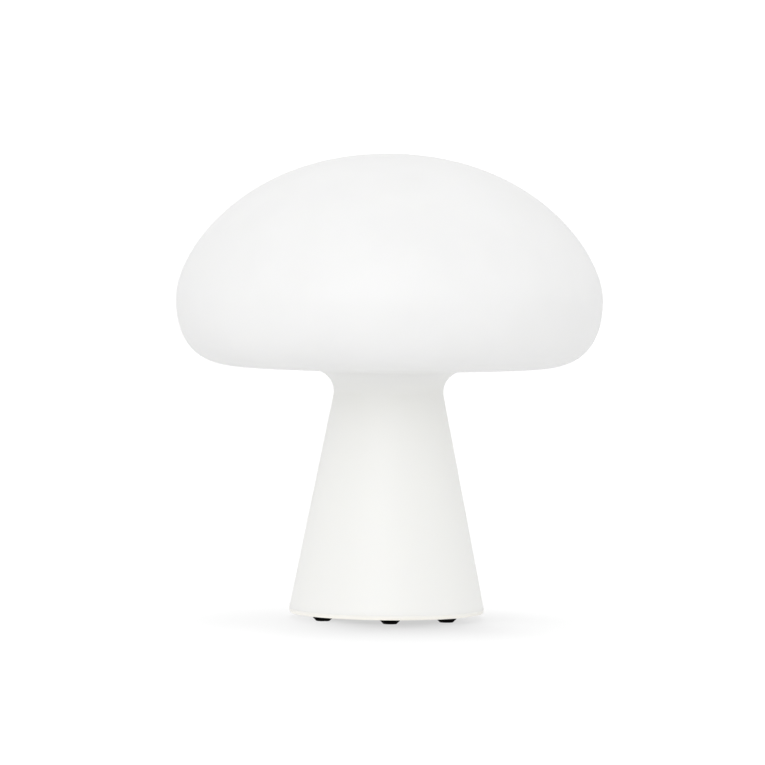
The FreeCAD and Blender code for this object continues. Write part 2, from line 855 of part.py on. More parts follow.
def heat_sink():
    body = bevelled_disc(sink_radius, column_top, sink_top, sink_bevel)
    for bearing in bearings(fin_slots, 0.0):
        slot = block(fin_gap, 2 * fin_depth, column_top, sink_top - sink_plate, 0, -sink_radius)
        slot.rotate(at(0, 0, 0), at(0, 0, 1), bearing)
        body = body.cut(slot)
    body = body.fuse(disc(column_inner_radius - screw_fit, sink_spigot_bottom, column_top)).removeSplitter()
    for hole in set_screw_rods(column_radius, set_screw_radius + screw_fit, 0.0):
        body = body.cut(hole)
    for x, y in led_screw_points():
        body = body.cut(disc(screw_radius + screw_fit, sink_top - led_screw_depth, sink_top, x, y))
    groove_inner = dome_radius - dome_wall - holder_fit
    body = body.cut(ring(groove_inner, dome_radius + holder_fit, sink_top - dome_lip, sink_top))
    return body.cut(lead_hole(sink_spigot_bottom, sink_top))


def lead_hole(low, high):
    depth = 2 * (led_lead_radius + led_lead_fit)
    return rounded_block(led_lead_spacing + depth, depth, led_lead_corner, low, high, 0, -lead_y)


def led_board():
    body = disc(led_board_radius, sink_top, led_board_top)
    for x, y in led_screw_points():
        body = body.cut(disc(screw_radius + screw_fit, sink_top, led_board_top, x, y))
    width = led_lead_spacing + 2 * (led_lead_radius + led_lead_fit)
    depth = led_board_radius - led_notch_start
    return body.cut(block(width, depth, sink_top, led_board_top, 0, -led_notch_start - depth / 2))


def led_board_screws():
    end = sink_top - led_screw_depth + screw_fit
    return group([screw(x, y, led_board_top, end) for x, y in led_screw_points()])


def led_chips():
    chips = []
    for count, radius in led_rings:
        for bearing in bearings(count, 180.0 / count):
            chip = block(chip_length, chip_width, led_board_top, led_board_top + chip_height, 0, -radius)
            chip.rotate(at(0, 0, 0), at(0, 0, 1), bearing)
            chips.append(chip)
    return group(chips)


def led_diffuser():
    """Thin dome over the light source, half an ellipse on a short lip."""
    def dome(radius, height, low):
        top = sink_top + height
        quarter = 4 * (math.sqrt(2) - 1) / 3
        crown = curve((0, top), (radius * quarter, top), (radius, sink_top + height * quarter),
                      (radius, sink_top))
        return turned([crown, line((radius, sink_top), (radius, low)), line((radius, low), (0, low)),
                       line((0, low), (0, top))])

    low = sink_top - dome_lip
    inside = dome(dome_radius - dome_wall, dome_height - dome_wall, low)
    return dome(dome_radius, dome_height, low).cut(inside)


def lead(points, radius, bend):
    """Wire of one gauge: two straight runs joined by a quarter turn."""
    start, corner, end = [at(*p) for p in points]
    inward = (start - corner).normalize()
    onward = (end - corner).normalize()
    turn_start = corner + inward * bend
    turn_end = corner + onward * bend
    centre = corner + inward * bend + onward * bend
    turn_middle = centre - (inward + onward) * (bend * math.sqrt(0.5))
    path = Part.Wire([
        Part.LineSegment(start, turn_start).toShape(),
        Part.Arc(turn_start, turn_middle, turn_end).toShape(),
        Part.LineSegment(turn_end, end).toShape(),
    ])
    section = Part.Wire(Part.makeCircle(radius, start, corner - start))
    return path.makePipeShell([section], True, False)


def battery_lead_positive():
    height = upper_strip_bottom - battery_lead_radius
    solder = strip_tongue_reach - lead_bend
    return lead([(0, solder, height), (0, lead_y, height), (0, lead_y, board_top)],
                battery_lead_radius, lead_bend)


def battery_lead_negative():
    height = lower_strip_bottom - battery_lead_radius
    return lead([(0, -notch_start - battery_lead_radius, height), (0, -short_lead_y, height),
                 (0, -short_lead_y, board_top)], battery_lead_radius, lead_bend)


def led_lead(side):
    x = side * led_lead_spacing / 2
    height = led_board_top + led_lead_radius
    pad = -led_notch_start + led_pad_length
    return lead([(x, pad, height), (x, -lead_y, height), (x, -lead_y, board_top)],
                led_lead_radius, led_lead_bend)


def all_pieces():
    pieces = {
        "glass_body": glass_body(),
        "rim_gasket": rim_gasket(),
        "base_plate": base_plate(),
        "clamp_collar": clamp_collar(),
        "clamp_ring": clamp_ring(),
        "clamp_screws": clamp_screws(),
        "ballast_ring": ballast_ring(),
        "chassis": chassis(),
        "chassis_screws": chassis_screws(),
        "control_board": control_board(),
        "board_screws": board_screws(),
        "board_chips": board_chips(),
        "capacitors": capacitors(),
        "inductor": inductor(),
        "switch_body": switch_body(),
        "switch_plunger": switch_plunger(),
        "power_button": power_button(),
        "charging_socket_shell": charging_socket_shell(),
        "charging_socket_tongue": charging_socket_tongue(),
        "indicator_light_pipe": indicator_light_pipe(),
        "indicator_led": indicator_led(),
        "cell_holder_lower": cell_holder_lower(),
        "cell_holder_upper": cell_holder_upper(),
        "cell_strip_lower": cell_strip(lower_strip_bottom, -1),
        "cell_strip_upper": cell_strip(upper_strip_bottom, 1),
        "light_column": light_column(),
        "column_screws": column_screws(),
        "heat_sink": heat_sink(),
        "heat_sink_screws": heat_sink_screws(),
        "led_board": led_board(),
        "led_board_screws": led_board_screws(),
        "led_chips": led_chips(),
        "led_diffuser": led_diffuser(),
        "battery_lead_positive": battery_lead_positive(),
        "battery_lead_negative": battery_lead_negative(),
        "led_lead_positive": led_lead(1),
        "led_lead_negative": led_lead(-1),
    }
    for number, bearing in enumerate(foot_bearings, 1):
        pieces["foot_%d" % number] = foot(bearing)
    for number, (x, y) in enumerate(cell_points(), 1):
        pieces["battery_cell_%d" % number] = battery_cell(x, y)
    return pieces


os.makedirs("parts", exist_ok=True)
for name, shape in all_pieces().items():
    shape.exportStep("parts/%s.step" % name)
    print("%-24s %d solids, %.1f mm3, valid %s" % (name, len(shape.Solids), shape.Volume, shape.isValid()))
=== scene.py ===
import json
import bmesh
import bpy
import numpy as np
from math import cos, pi, radians, sin, tan
from mathutils import Matrix, Vector


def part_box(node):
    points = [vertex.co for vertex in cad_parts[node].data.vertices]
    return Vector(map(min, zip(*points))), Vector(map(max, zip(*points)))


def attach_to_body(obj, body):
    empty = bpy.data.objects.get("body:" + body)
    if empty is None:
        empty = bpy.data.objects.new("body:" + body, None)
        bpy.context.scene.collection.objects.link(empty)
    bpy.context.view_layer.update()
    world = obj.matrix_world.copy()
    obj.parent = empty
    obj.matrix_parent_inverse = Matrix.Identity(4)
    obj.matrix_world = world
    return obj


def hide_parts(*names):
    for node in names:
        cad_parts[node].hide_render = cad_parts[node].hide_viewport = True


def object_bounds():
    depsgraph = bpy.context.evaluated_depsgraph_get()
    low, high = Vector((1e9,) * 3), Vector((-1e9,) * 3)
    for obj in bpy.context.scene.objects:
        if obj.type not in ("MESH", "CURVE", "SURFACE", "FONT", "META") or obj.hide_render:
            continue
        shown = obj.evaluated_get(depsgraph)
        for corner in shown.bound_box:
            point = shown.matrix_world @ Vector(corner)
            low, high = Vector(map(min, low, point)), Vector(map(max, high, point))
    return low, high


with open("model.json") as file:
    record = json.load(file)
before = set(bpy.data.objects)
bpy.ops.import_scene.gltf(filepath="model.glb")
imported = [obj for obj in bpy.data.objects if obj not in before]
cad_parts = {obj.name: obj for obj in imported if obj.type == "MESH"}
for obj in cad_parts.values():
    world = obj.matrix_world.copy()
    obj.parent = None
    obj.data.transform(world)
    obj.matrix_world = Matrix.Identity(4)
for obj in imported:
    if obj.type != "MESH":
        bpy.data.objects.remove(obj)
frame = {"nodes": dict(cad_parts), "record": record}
cadLow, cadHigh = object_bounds()
print("frame loaded:", len(frame["nodes"]), "nodes")


def newObject(name, data):
    made = bpy.data.objects.new(name, data)
    bpy.context.scene.collection.objects.link(made)
    return made


# the photograph's own angle: a long lens from well back, a little above the table
camera = {
    "place": Vector((0.0, -2.6, 0.2168)),
    "aim": Vector((-0.003165, 0.0, 0.12108)),
    "roll": radians(0.55),
    "lens": 237.49, "sensor": 36.0,  # mm
    "clip": (0.01, 100.0),
}


def makeCamera():
    data = bpy.data.cameras.new("camera")
    data.lens, data.sensor_width = camera["lens"], camera["sensor"]
    data.clip_start, data.clip_end = camera["clip"]
    eye = newObject("camera", data)
    look = (camera["aim"] - camera["place"]).to_track_quat("-Z", "Y").to_matrix()
    eye.matrix_world = (Matrix.Translation(camera["place"]) @ look.to_4x4()
                        @ Matrix.Rotation(camera["roll"], 4, "Z"))
    bpy.context.scene.camera = eye


makeCamera()
print("camera placed")


# a shader socket that takes part in sums; each sum adds a Math node
class Socket:
    def __init__(self, shader, link):
        self.maths, self.link = shader.maths, link

    def __add__(self, other): return self.maths("ADD", self, other)
    def __radd__(self, other): return self.maths("ADD", other, self)
    def __sub__(self, other): return self.maths("SUBTRACT", self, other)
    def __rsub__(self, other): return self.maths("SUBTRACT", other, self)
    def __mul__(self, other): return self.maths("MULTIPLY", self, other)
    def __rmul__(self, other): return self.maths("MULTIPLY", other, self)
    def __truediv__(self, other): return self.maths("DIVIDE", self, other)
    def __pow__(self, other): return self.maths("POWER", self, other)
    def __mod__(self, other): return self.maths("FLOORED_MODULO", self, other)
    def __lt__(self, other): return self.maths("LESS_THAN", self, other)
    def __gt__(self, other): return self.maths("GREATER_THAN", self, other)
    def __abs__(self): return self.maths("ABSOLUTE", self)


# builds the nodes of one material or of the world
class Shader:
    def __init__(self, owner):
        owner.use_nodes = True
        self.owner, self.tree = owner, owner.node_tree
        self.tree.nodes.clear()

    # one node: its type, its settings, what goes into its sockets, and which output is wanted
    def node(self, kind, settings=None, inputs=None, output=0):
        made = self.tree.nodes.new("ShaderNode" + kind)
        for name, value in (settings or {}).items():
            setattr(made, name, value)
        for name, value in (inputs or {}).items():
            if isinstance(value, Socket):
                self.tree.links.new(value.link, made.inputs[name])
            else:
                made.inputs[name].default_value = value
        return Socket(self, made.outputs[output]) if len(made.outputs) else made

    def maths(self, operation, *values):
        return self.node("Math", {"operation": operation}, dict(enumerate(values)))

    # the greater of two, which joins masks
    def either(self, first, second):
        return self.maths("MAXIMUM", first, second)

    def radius(self, x, y):
        return (x * x + y * y) ** 0.5

    def place(self):
        return self.node("TexCoord", output="Object")

    def axes(self):
        split = self.node("SeparateXYZ", inputs={0: self.place()}).link.node
        return [Socket(self, out) for out in split.outputs]

    # noise, stretched along each axis if a way is given
    def noise(self, scale, detail=2.0, way=None):
        place = self.place()
        if way:
            place = self.node("Mapping", inputs={"Vector": place, "Scale": way})
        return self.node("TexNoise", inputs={"Vector": place, "Scale": scale, "Detail": detail})

    # a value moved by noises, each over a span of its own
    def varied(self, value, *noises):
        for noise, span in noises:
            value = value + (noise - 0.5) * span
        return value

    def grain(self, look):
        return self.noise(look["grainScale"])

    # runs from 0 to 1 while the value goes from low to high
    def step(self, value, low, high):
        return self.node("MapRange", {"interpolation_type": "SMOOTHSTEP"},
                         {"Value": value, "From Min": low, "From Max": high})

    def mix(self, share, first, second):
        return self.node("Mix", {"data_type": "RGBA"}, {0: share, 6: first, 7: second}, output=2)

    # a colour between a look's dark and light ones
    def tone(self, share, look):
        return self.mix(share, look["dark"], look["light"])

    # the whole finish; its look holds the relief's depth and what stays the same all over
    def finish(self, look, colour, roughness, relief, metallic=None):
        bump = self.node("Bump", inputs={"Height": relief, "Distance": look["depth"]})
        inputs = {"Base Color": colour, "Roughness": roughness, "Normal": bump} | look.get("constants", {})
        if metallic:
            inputs["Metallic"] = metallic
        self.node("OutputMaterial", inputs={"Surface": self.node("BsdfPrincipled", inputs=inputs)})
        return self.owner


def newShader(name):
    return Shader(bpy.data.materials.new(name))


def grey(level):
    return (level, level, level, 1.0)


# angles spread evenly over a full turn
def fullTurn(count):
    return np.linspace(0, 2 * pi, count, endpoint=False)


# the room: white to the camera, a white tent for what it lights, and a table that glows like a light table
studio = {
    "backdrop": grey(1.0), "backdropStrength": 1.1,
    "tentSide": grey(0.915), "tentRoof": grey(0.94), "tentStrength": 1.0,
    "lamps": (  # name, where the light comes from, its strength, how wide it is
        ("keyLamp", (-0.25, -0.87, 0.42), 0.3, radians(55)),
        ("frontLamp", (-0.15, -0.97, 0.15), 0.32, radians(50)),
    ),
    # these light the table alone; the last word says what throws shadows in their light
    "tableLamps": (
        ("overLamp", (0.03, 0.15, 0.98), 16.4, radians(45), "all"),
        ("backLamp", (-0.12, 0.75, 0.65), 35.9, radians(50), "core"),
        ("lowBackLamp", (0.0, 0.95, 0.3), 25.2, radians(30), "base"),
        ("lowSideLamp", (-0.95, -0.1, 0.3), 13.5, radians(30), "base"),
    ),
    "baseNodes": ("base_plate", "rim_gasket", "foot_"),
    "wallNodes": ("glass_body", "clamp_"),
    "floorRadius": 30.0, "floorCorners": 96,
    "floorGlow": 0.58,  # how bright the table is in full shadow
    "floorBounce": 0.89,  # what it throws up at the lamp
    "floorColour": grey(0.03),
}


def makeWorld():
    world = bpy.data.worlds.new("room")
    bpy.context.scene.world = world
    room = Shader(world)
    seen = room.node("LightPath", output="Is Camera Ray")
    height = room.node("SeparateXYZ", inputs={0: room.node("TexCoord", output="Generated")}, output="Z")
    tent = room.mix(room.step(height, 0.0, 1.0), studio["tentSide"], studio["tentRoof"])
    fill = room.node("Background", inputs={"Color": tent, "Strength": studio["tentStrength"]})
    backdrop = room.node("Background", inputs={"Color": studio["backdrop"],
                                               "Strength": studio["backdropStrength"]})
    both = room.node("MixShader", inputs={0: seen, 1: fill, 2: backdrop})
    room.node("OutputWorld", inputs={"Surface": both})
    bpy.context.scene.view_settings.view_transform = "Standard"


def makeSun(name, place, strength, width):
    light = bpy.data.lights.new(name, "SUN")
    light.energy, light.angle = strength, width
    sun = newObject(name, light)
    sun.rotation_euler = (-Vector(place)).to_track_quat("-Z", "Y").to_euler()
    return sun


def gathered(name, pieces):
    group = bpy.data.collections.new(name)
    for piece in pieces:
        group.objects.link(piece)
    return group


# the frame's nodes whose names start in one of these ways, or all the others
def nodesNamed(starts, others=False):
    return [piece for name, piece in frame["nodes"].items() if name.startswith(starts) != others]


# a white table, clear from below, with the lamps that throw the shadows on it
def makeFloor():
    around = fullTurn(studio["floorCorners"])
    edge = np.stack([np.cos(around), np.sin(around), 0 * around], 1) * studio["floorRadius"]
    mesh = bpy.data.meshes.new("floor")
    mesh.from_pydata(edge.tolist(), [], [list(range(len(edge)))])
    floor = newObject("floor", mesh)
    table = newShader("tableTop")
    matte = table.node("BsdfDiffuse", inputs={"Color": studio["floorColour"]})
    glow = table.node("Emission", inputs={"Color": grey(1.0), "Strength": studio["floorGlow"]})
    shown = table.node("AddShader", inputs={0: matte, 1: glow})
    bounce = table.node("Emission", inputs={"Color": grey(1.0), "Strength": studio["floorBounce"]})
    seen = table.node("LightPath", output="Is Camera Ray")
    top = table.node("MixShader", inputs={0: seen, 1: bounce, 2: shown})
    under = table.node("NewGeometry", output="Backfacing")
    clear = table.node("BsdfTransparent")
    both = table.node("MixShader", inputs={0: under, 1: top, 2: clear})
    table.node("OutputMaterial", inputs={"Surface": both})
    mesh.materials.append(table.owner)
    lit = gathered("litTable", [floor])
    base, walls = studio["baseNodes"], studio["wallNodes"]
    shades = {"base": gathered("baseShade", nodesNamed(base)),
              "core": gathered("coreShade", nodesNamed(base + walls, others=True))}
    for *lamp, shade in studio["tableLamps"]:
        sun = makeSun(*lamp)
        sun.light_linking.receiver_collection = lit
        if shade in shades:
            sun.light_linking.blocker_collection = shades[shade]


makeWorld()
for lamp in studio["lamps"]:
    makeSun(*lamp)
makeFloor()
print("room and floor made")


sharpTurn = radians(35)  # edges that turn further than this stay crisp
near = 1e-5  # m; points closer than this count as level


# a mesh from whole arrays of points and lists of faces
def meshPiece(name, points, faces, material):
    mesh = bpy.data.meshes.new(name)
    mesh.from_pydata(points.tolist(), [], faces)
    mesh.polygons.foreach_set("use_smooth", np.ones(len(mesh.polygons), bool))
    mesh.set_sharp_from_angle(angle=sharpTurn)
    mesh.materials.append(material)
    mesh.update()
    return newObject(name, mesh)


# rows of points turned about Z: (wide cos a, long sin a, height) at each angle a
def turnedGrid(wide, long, height, turn):
    return np.stack(np.broadcast_arrays(wide * np.cos(turn), long * np.sin(turn), height), 2)


# the quads of a grid whose rows close on themselves, and whose last row may join the first
def gridQuads(grid, first=0, closed=False):
    rows, count = grid.shape[:2]
    row, column = np.meshgrid(np.arange(rows if closed else rows - 1), np.arange(count), indexing="ij")
    below, ahead = (row + 1) % rows, (column + 1) % count
    quads = np.stack([row * count + column, below * count + column,
                      below * count + ahead, row * count + ahead], 2)
    return (quads.reshape(-1, 4) + first).tolist()


# One piece of turned solids, each a grid of points (rows, columns, 3) between two poles. Rows run from the
# first pole to the last, and columns turn anticlockwise seen from outside the first.
def turnedPiece(name, solids, material):
    points, faces, first = [], [], 0
    for grid, poles in solids:
        rows, count = grid.shape[:2]
        step, last, pole = np.arange(count), (rows - 1) * count, np.full(count, rows * count)
        fans = np.concatenate([np.stack([pole, step, (step + 1) % count], 1),
                               np.stack([pole + 1, last + (step + 1) % count, last + step], 1)])
        faces += gridQuads(grid, first) + (fans + first).tolist()
        points += [grid.reshape(-1, 3), np.array(poles)]
        first += rows * count + 2
    return meshPiece(name, np.concatenate(points), faces, material)


# a ring turned from a closed outline of (radius, height), which runs down the outside and up the inside
def ringPiece(name, outline, count, material):
    radius, height = outline[:, :1], outline[:, 1:]
    grid = turnedGrid(radius, radius, height, fullTurn(count))
    return meshPiece(name, grid.reshape(-1, 3), gridQuads(grid, closed=True), material)


# One piece of runs that each carry a section along a path. A section's points (a, b) lie at a times a fixed
# direction plus b times that direction crossed with the path's; both ends are closed.
def sweptPiece(name, runs, material):
    points, faces, first = [], [], 0
    for path, fixed, section in runs:
        along = np.gradient(path, axis=0)
        along /= np.linalg.norm(along, axis=1)[:, None]
        other = np.cross(fixed, along)
        grid = path[:, None] + section[:, :1] * fixed + section[:, 1:] * other[:, None]
        after, count = first + grid.shape[0] * grid.shape[1], len(section)
        ends = [list(range(first, first + count)), list(range(after - 1, after - count - 1, -1))]
        faces += gridQuads(grid, first) + ends
        points.append(grid.reshape(-1, 3))
        first = after
    return meshPiece(name, np.concatenate(points), faces, material)


def rectangle(width, thickness):
    return np.array([(-width, -thickness), (width, -thickness), (width, thickness), (-width, thickness)]) / 2


# cubic Bezier curve: poles a b c d, t from 0 to 1, (1-t)^3 a + 3(1-t)^2 t b + 3(1-t) t^2 c + t^3 d
def bezier(a, b, c, d, count):
    t = np.linspace(0, 1, count)[:, None]
    return ((1 - t) ** 3 * np.array(a) + 3 * (1 - t) ** 2 * t * np.array(b)
            + 3 * (1 - t) * t ** 2 * np.array(c) + t ** 3 * np.array(d))


# arc: centre plus radius times (cos, sin) of an angle from first to last
def arcPoints(centre, radius, first, last, count):
    angle = np.linspace(first, last, count)
    return np.array(centre) + radius * np.stack([np.cos(angle), np.sin(angle)], 1)


# joins stretches of a profile, leaving out the point that each shares with the one before
def joined(*stretches):
    return np.concatenate([stretches[0]] + [part[1:] for part in stretches[1:]])


def attach(piece, body, slot, *nodes):
    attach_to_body(piece, body)
    if nodes:
        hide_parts(*nodes)


glass = {
    "widest": 0.164,  # height of the cap's widest ring
    "crownHandle": 0.0738, "crownDrop": 0.025,
    "undersideRadius": 0.0772, "undersideRise": radians(2.63),
    "shoulderDrop": 0.0337, "shoulderReach": 0.0087,
    "neckRadius": 0.02834, "neckHeight": 0.11635, "neckFillet": 0.01095,
    "taper": radians(11.25), "wall": 0.003,
    "outerRound": 0.0008, "innerRound": 0.0008,  # at the foot
    "wander": 0.00012,  # how far the blown surface strays from true, always inwards
    "calm": 0.02,  # nearer to the axis than this it strays less
    "around": 256, "crownRows": 44, "shoulderRows": 30, "underRows": 14, "neckRows": 16, "stemRows": 36,
    "footRows": 6,
}


# radius of the stem's cone at a height, moved in by the wall
def stemRadius(height, inset):
    bend = glass["neckFillet"] + inset
    centre = glass["neckRadius"] + glass["neckFillet"]
    touch = glass["neckHeight"] - bend * sin(glass["taper"])
    return centre - bend * cos(glass["taper"]) + (touch - height) * tan(glass["taper"])


# half section of the glass from the top of the cap to the foot, as (radius, height), moved in by the wall
def glassProfile(inset, footHeight):
    top, side = cadHigh.z - inset, cadHigh.x - inset
    rise, taper = glass["undersideRise"], glass["taper"]
    wide, bend = glass["widest"], glass["neckFillet"] + inset
    centre = (glass["neckRadius"] + glass["neckFillet"], glass["neckHeight"])
    bendStart = (centre[0] - bend * sin(rise), centre[1] + bend * cos(rise))
    bendEnd = (centre[0] - bend * cos(taper), centre[1] - bend * sin(taper))
    flatRadius = glass["undersideRadius"] - inset * sin(rise)
    flatEnd = (flatRadius, bendStart[1] + (flatRadius - bendStart[0]) * tan(rise))
    drop = glass["crownDrop"] * (top - wide) / (cadHigh.z - wide)
    sink = glass["shoulderDrop"] - inset
    reach = glass["shoulderReach"]
    return joined(
        bezier((0, top), (glass["crownHandle"] * side / cadHigh.x, top), (side, wide + drop),
               (side, wide), glass["crownRows"]),
        bezier((side, wide), (side, wide - sink), (flatRadius + reach, flatEnd[1] + reach * tan(rise)),
               flatEnd, glass["shoulderRows"]),
        np.linspace(flatEnd, bendStart, glass["underRows"]),
        arcPoints(centre, bend, pi / 2 + rise, pi + taper, glass["neckRows"]),
        np.linspace(bendEnd, (stemRadius(footHeight, inset), footHeight), glass["stemRows"]))


# the foot's rounding: an arc tangent to the cone and to the flat foot, whose centre lies
# radius / tan(half the corner's angle) from the corner, which is sharper outside than inside
def footRound(inset, radius, footHeight, outside):
    taper = glass["taper"]
    edge = stemRadius(footHeight, inset)
    if outside:
        centre = (edge - radius / tan((pi / 2 - taper) / 2), footHeight + radius)
        return arcPoints(centre, radius, taper, -pi / 2, glass["footRows"])
    centre = (edge + radius / tan((pi / 2 + taper) / 2), footHeight + radius)
    return arcPoints(centre, radius, -pi / 2, -pi + taper, glass["footRows"])


# The glass is turned: a point at angle a and profile row (r, z) is (r cos a, r sin a, z). The outside strays
# inwards by wander (1 + w) / 2, where w = 0.6 sin(2a + 21z) cos(37z + 0.7) + 0.4 sin(3a - 48z), z in metres.
def makeGlass(material):
    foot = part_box("glass_body")[0].z
    outer, inner = glassProfile(0.0, foot), glassProfile(glass["wall"], foot)
    outRound = footRound(0.0, glass["outerRound"], foot, True)
    inRound = footRound(glass["wall"], glass["innerRound"], foot, False)
    outer = np.concatenate([outer[outer[:, 1] > outRound[0, 1] + near], outRound])
    inner = np.concatenate([inner[inner[:, 1] > inRound[-1, 1] + near], inRound[::-1]])
    profile = np.concatenate([outer, inner[::-1]])
    turn = fullTurn(glass["around"])
    radius, height = profile[1:-1, :1], profile[1:-1, 1:]
    wave = (0.6 * np.sin(2 * turn + 21 * height) * np.cos(37 * height + 0.7)
            + 0.4 * np.sin(3 * turn - 48 * height))
    outside = np.zeros_like(radius)
    outside[:len(outer) - 1 - glass["footRows"]] = 1.0
    stray = glass["wander"] * (1 + wave) / 2 * outside * np.minimum(1, radius / glass["calm"])
    grid = turnedGrid(radius - stray, radius - stray, height, turn)
    poles = [(0, 0, profile[0, 1]), (0, 0, profile[-1, 1])]
    attach(turnedPiece("glassShell", [(grid, poles)], material), "lamp", "opal_glass", "glass_body")


# The gasket as the glass presses it: a wedge inside the glass, a flat ring under its foot, and a bead pushed
# out over the rim, an arc round the foot's rounding and then a Bezier curve
gasket = {
    "gap": 0.00005,  # to the glass inside
    "lift": 0.00002,  # off the glass's rounding
    "climb": radians(-5),  # how far round the foot the bead reaches
    "bulge": 0.0001,  # beyond the rim
    "tuck": 0.00005,  # from the rim's edge to where the bead ends
    "climbRows": 7, "beadRows": 9, "around": 192,
}


def makeGasket(material):
    low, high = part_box("rim_gasket")
    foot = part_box("glass_body")[0].z
    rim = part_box("base_plate")[1].x
    inner = np.linalg.norm(solidsOf("rim_gasket")[0][:, :2], axis=1).min()
    bend, taper = glass["outerRound"], glass["taper"]
    centre = (stemRadius(foot, 0.0) - bend / tan((pi / 2 - taper) / 2), foot + bend)
    climb = arcPoints(centre, bend + gasket["lift"], -pi / 2, gasket["climb"], gasket["climbRows"])
    out = rim + gasket["bulge"]
    bead = bezier(climb[-1], (out, climb[-1, 1]), (out, low.z), (rim - gasket["tuck"], low.z),
                  gasket["beadRows"])
    wedge = [(stemRadius(z, glass["wall"]) - gasket["gap"], z) for z in (high.z, foot)]
    outline = np.concatenate([[(inner, high.z)], wedge, climb, bead[1:], [(inner, low.z)]])
    piece = ringPiece("rimGasket", outline, gasket["around"], material)
    attach(piece, "lamp", "clear_silicone", "rim_gasket")


# the solids of a node, each as an array of its points
def solidsOf(node):
    merged = bmesh.new()
    merged.from_mesh(frame["nodes"][node].data)
    bmesh.ops.remove_doubles(merged, verts=merged.verts, dist=near / 10)
    solids, left = [], set(merged.verts)
    while left:
        found, edge = set(), {left.pop()}
        while edge:
            found |= edge
            edge = {joint.other_vert(vert) for vert in edge for joint in vert.link_edges} - found
        left -= found
        solids.append(np.array([vert.co[:] for vert in found]))
    merged.free()
    return sorted(solids, key=lambda solid: tuple(solid.mean(0).round(5)))


# Each screw of a node: the middle of its head's end, the way it points, its head's and its shank's radius,
# its length and its head's height. Screws stand along Z, but the heat sink's point at its axis.
def screwPlaces(node):
    places = []
    for solid in solidsOf(node):
        middle, way = (solid.min(0) + solid.max(0)) / 2, np.array([0.0, 0.0, 1.0])
        if node == "heat_sink_screws":
            way = np.linalg.svd(solid - solid.mean(0), full_matrices=False)[2][0] * (1, 1, 0)
            way *= np.sign(way @ middle) / np.linalg.norm(way)
            middle = np.array([0.0, 0.0, middle[2]])
        along = solid @ way
        line = middle - way * (middle @ way)
        away = np.linalg.norm(solid - line - along[:, None] * way, axis=1)
        low, high, head = along.min(), along.max(), away.max()
        bottom, top, rim = along < low + near, along > high - near, away > 0.99 * head
        headUp = rim[top].any()
        shank = away[bottom if headUp else top].max()
        start = line + way * (high if headUp else low)
        places.append((start, -way if headUp else way, head, shank, high - low, np.ptp(along[rim])))
    return places


wires = ("battery_lead_positive", "battery_lead_negative", "led_lead_positive", "led_lead_negative")


# a wire's upright end on the control board, its level end on a pad or strip, and half its width
def wireEnds(node):
    low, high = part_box(node)
    size, x = (high.x - low.x) / 2, (high.x + low.x) / 2
    back = high.y > -low.y
    upright = Vector((x, high.y - size if back else low.y + size, low.z))
    level = Vector((x, low.y if back else high.y, high.z))
    return upright, level, size


# light that spreads under the surface: how much, how far in metres, and how far blue goes beside red
def softLight(weight, reach, blue=0.8):
    return {"Subsurface Weight": weight, "Subsurface Radius": (reach, reach, reach * blue),
            "Subsurface Scale": 1.0}


# satin opal glass: milk-white, faintly cloudy, etched, a shade warmer in the stem, with painted light on a
# band at the foot's ground edge that lifts the seam's shade
opal = {
    "cap": (0.865, 0.865, 0.86, 1), "capClear": (0.885, 0.885, 0.88, 1),
    # the foot's colour is painted light: much whiter than the rest of the glass
    "stem": (0.875, 0.875, 0.85, 1), "paintedFootLight": (0.95, 0.945, 0.92, 1),
    "cloudScale": 24.0, "cloudRange": (0.3, 0.7),
    "stemRange": (0.135, 0.115),  # heights between which the cap's white turns into the stem's
    "footLightRange": (0.0008, 0.0002),  # heights above the foot between which the painted light at the foot's ground edge sets in
    "etchScale": 2600.0, "depth": 0.00003,
    "rough": 0.42, "spread": 0.1,
    "constants": {"IOR": 1.5, **softLight(0.2, 0.004, blue=0.9)},
}


def opalGlass():
    s = newShader("opalGlass")
    z = s.axes()[2]
    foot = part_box("glass_body")[0].z
    cloud = s.noise(opal["cloudScale"], detail=3.0)
    body = s.mix(s.step(cloud, *opal["cloudRange"]), opal["cap"], opal["capClear"])
    body = s.mix(s.step(z, *opal["stemRange"]), body, opal["stem"])
    # painted light: the foot's ground edge is coloured lighter than the glass, standing in for the light the
    # seam's shade takes away
    body = s.mix(s.step(z, *(foot + height for height in opal["footLightRange"])), body, opal["paintedFootLight"])
    rough = s.varied(opal["rough"], (cloud, opal["spread"]))
    return s.finish(opal, body, rough, s.noise(opal["etchScale"]))


# moulded plastic or rubber: a spark-eroded grain, slow changes of gloss, a colour that is not quite even
moulding = {"flowScale": 45.0, "flowGloss": 0.12, "grainScale": 1800.0, "grainGloss": 0.08, "depth": 0.00002}


def moulded(name, look):
    s, look = newShader(name), moulding | look
    flow, grain = s.noise(look["flowScale"]), s.grain(look)
    rough = s.varied(look["rough"], (flow, look["flowGloss"]), (grain, look["grainGloss"]))
    return s.finish(look, s.tone(flow, look), rough, grain)


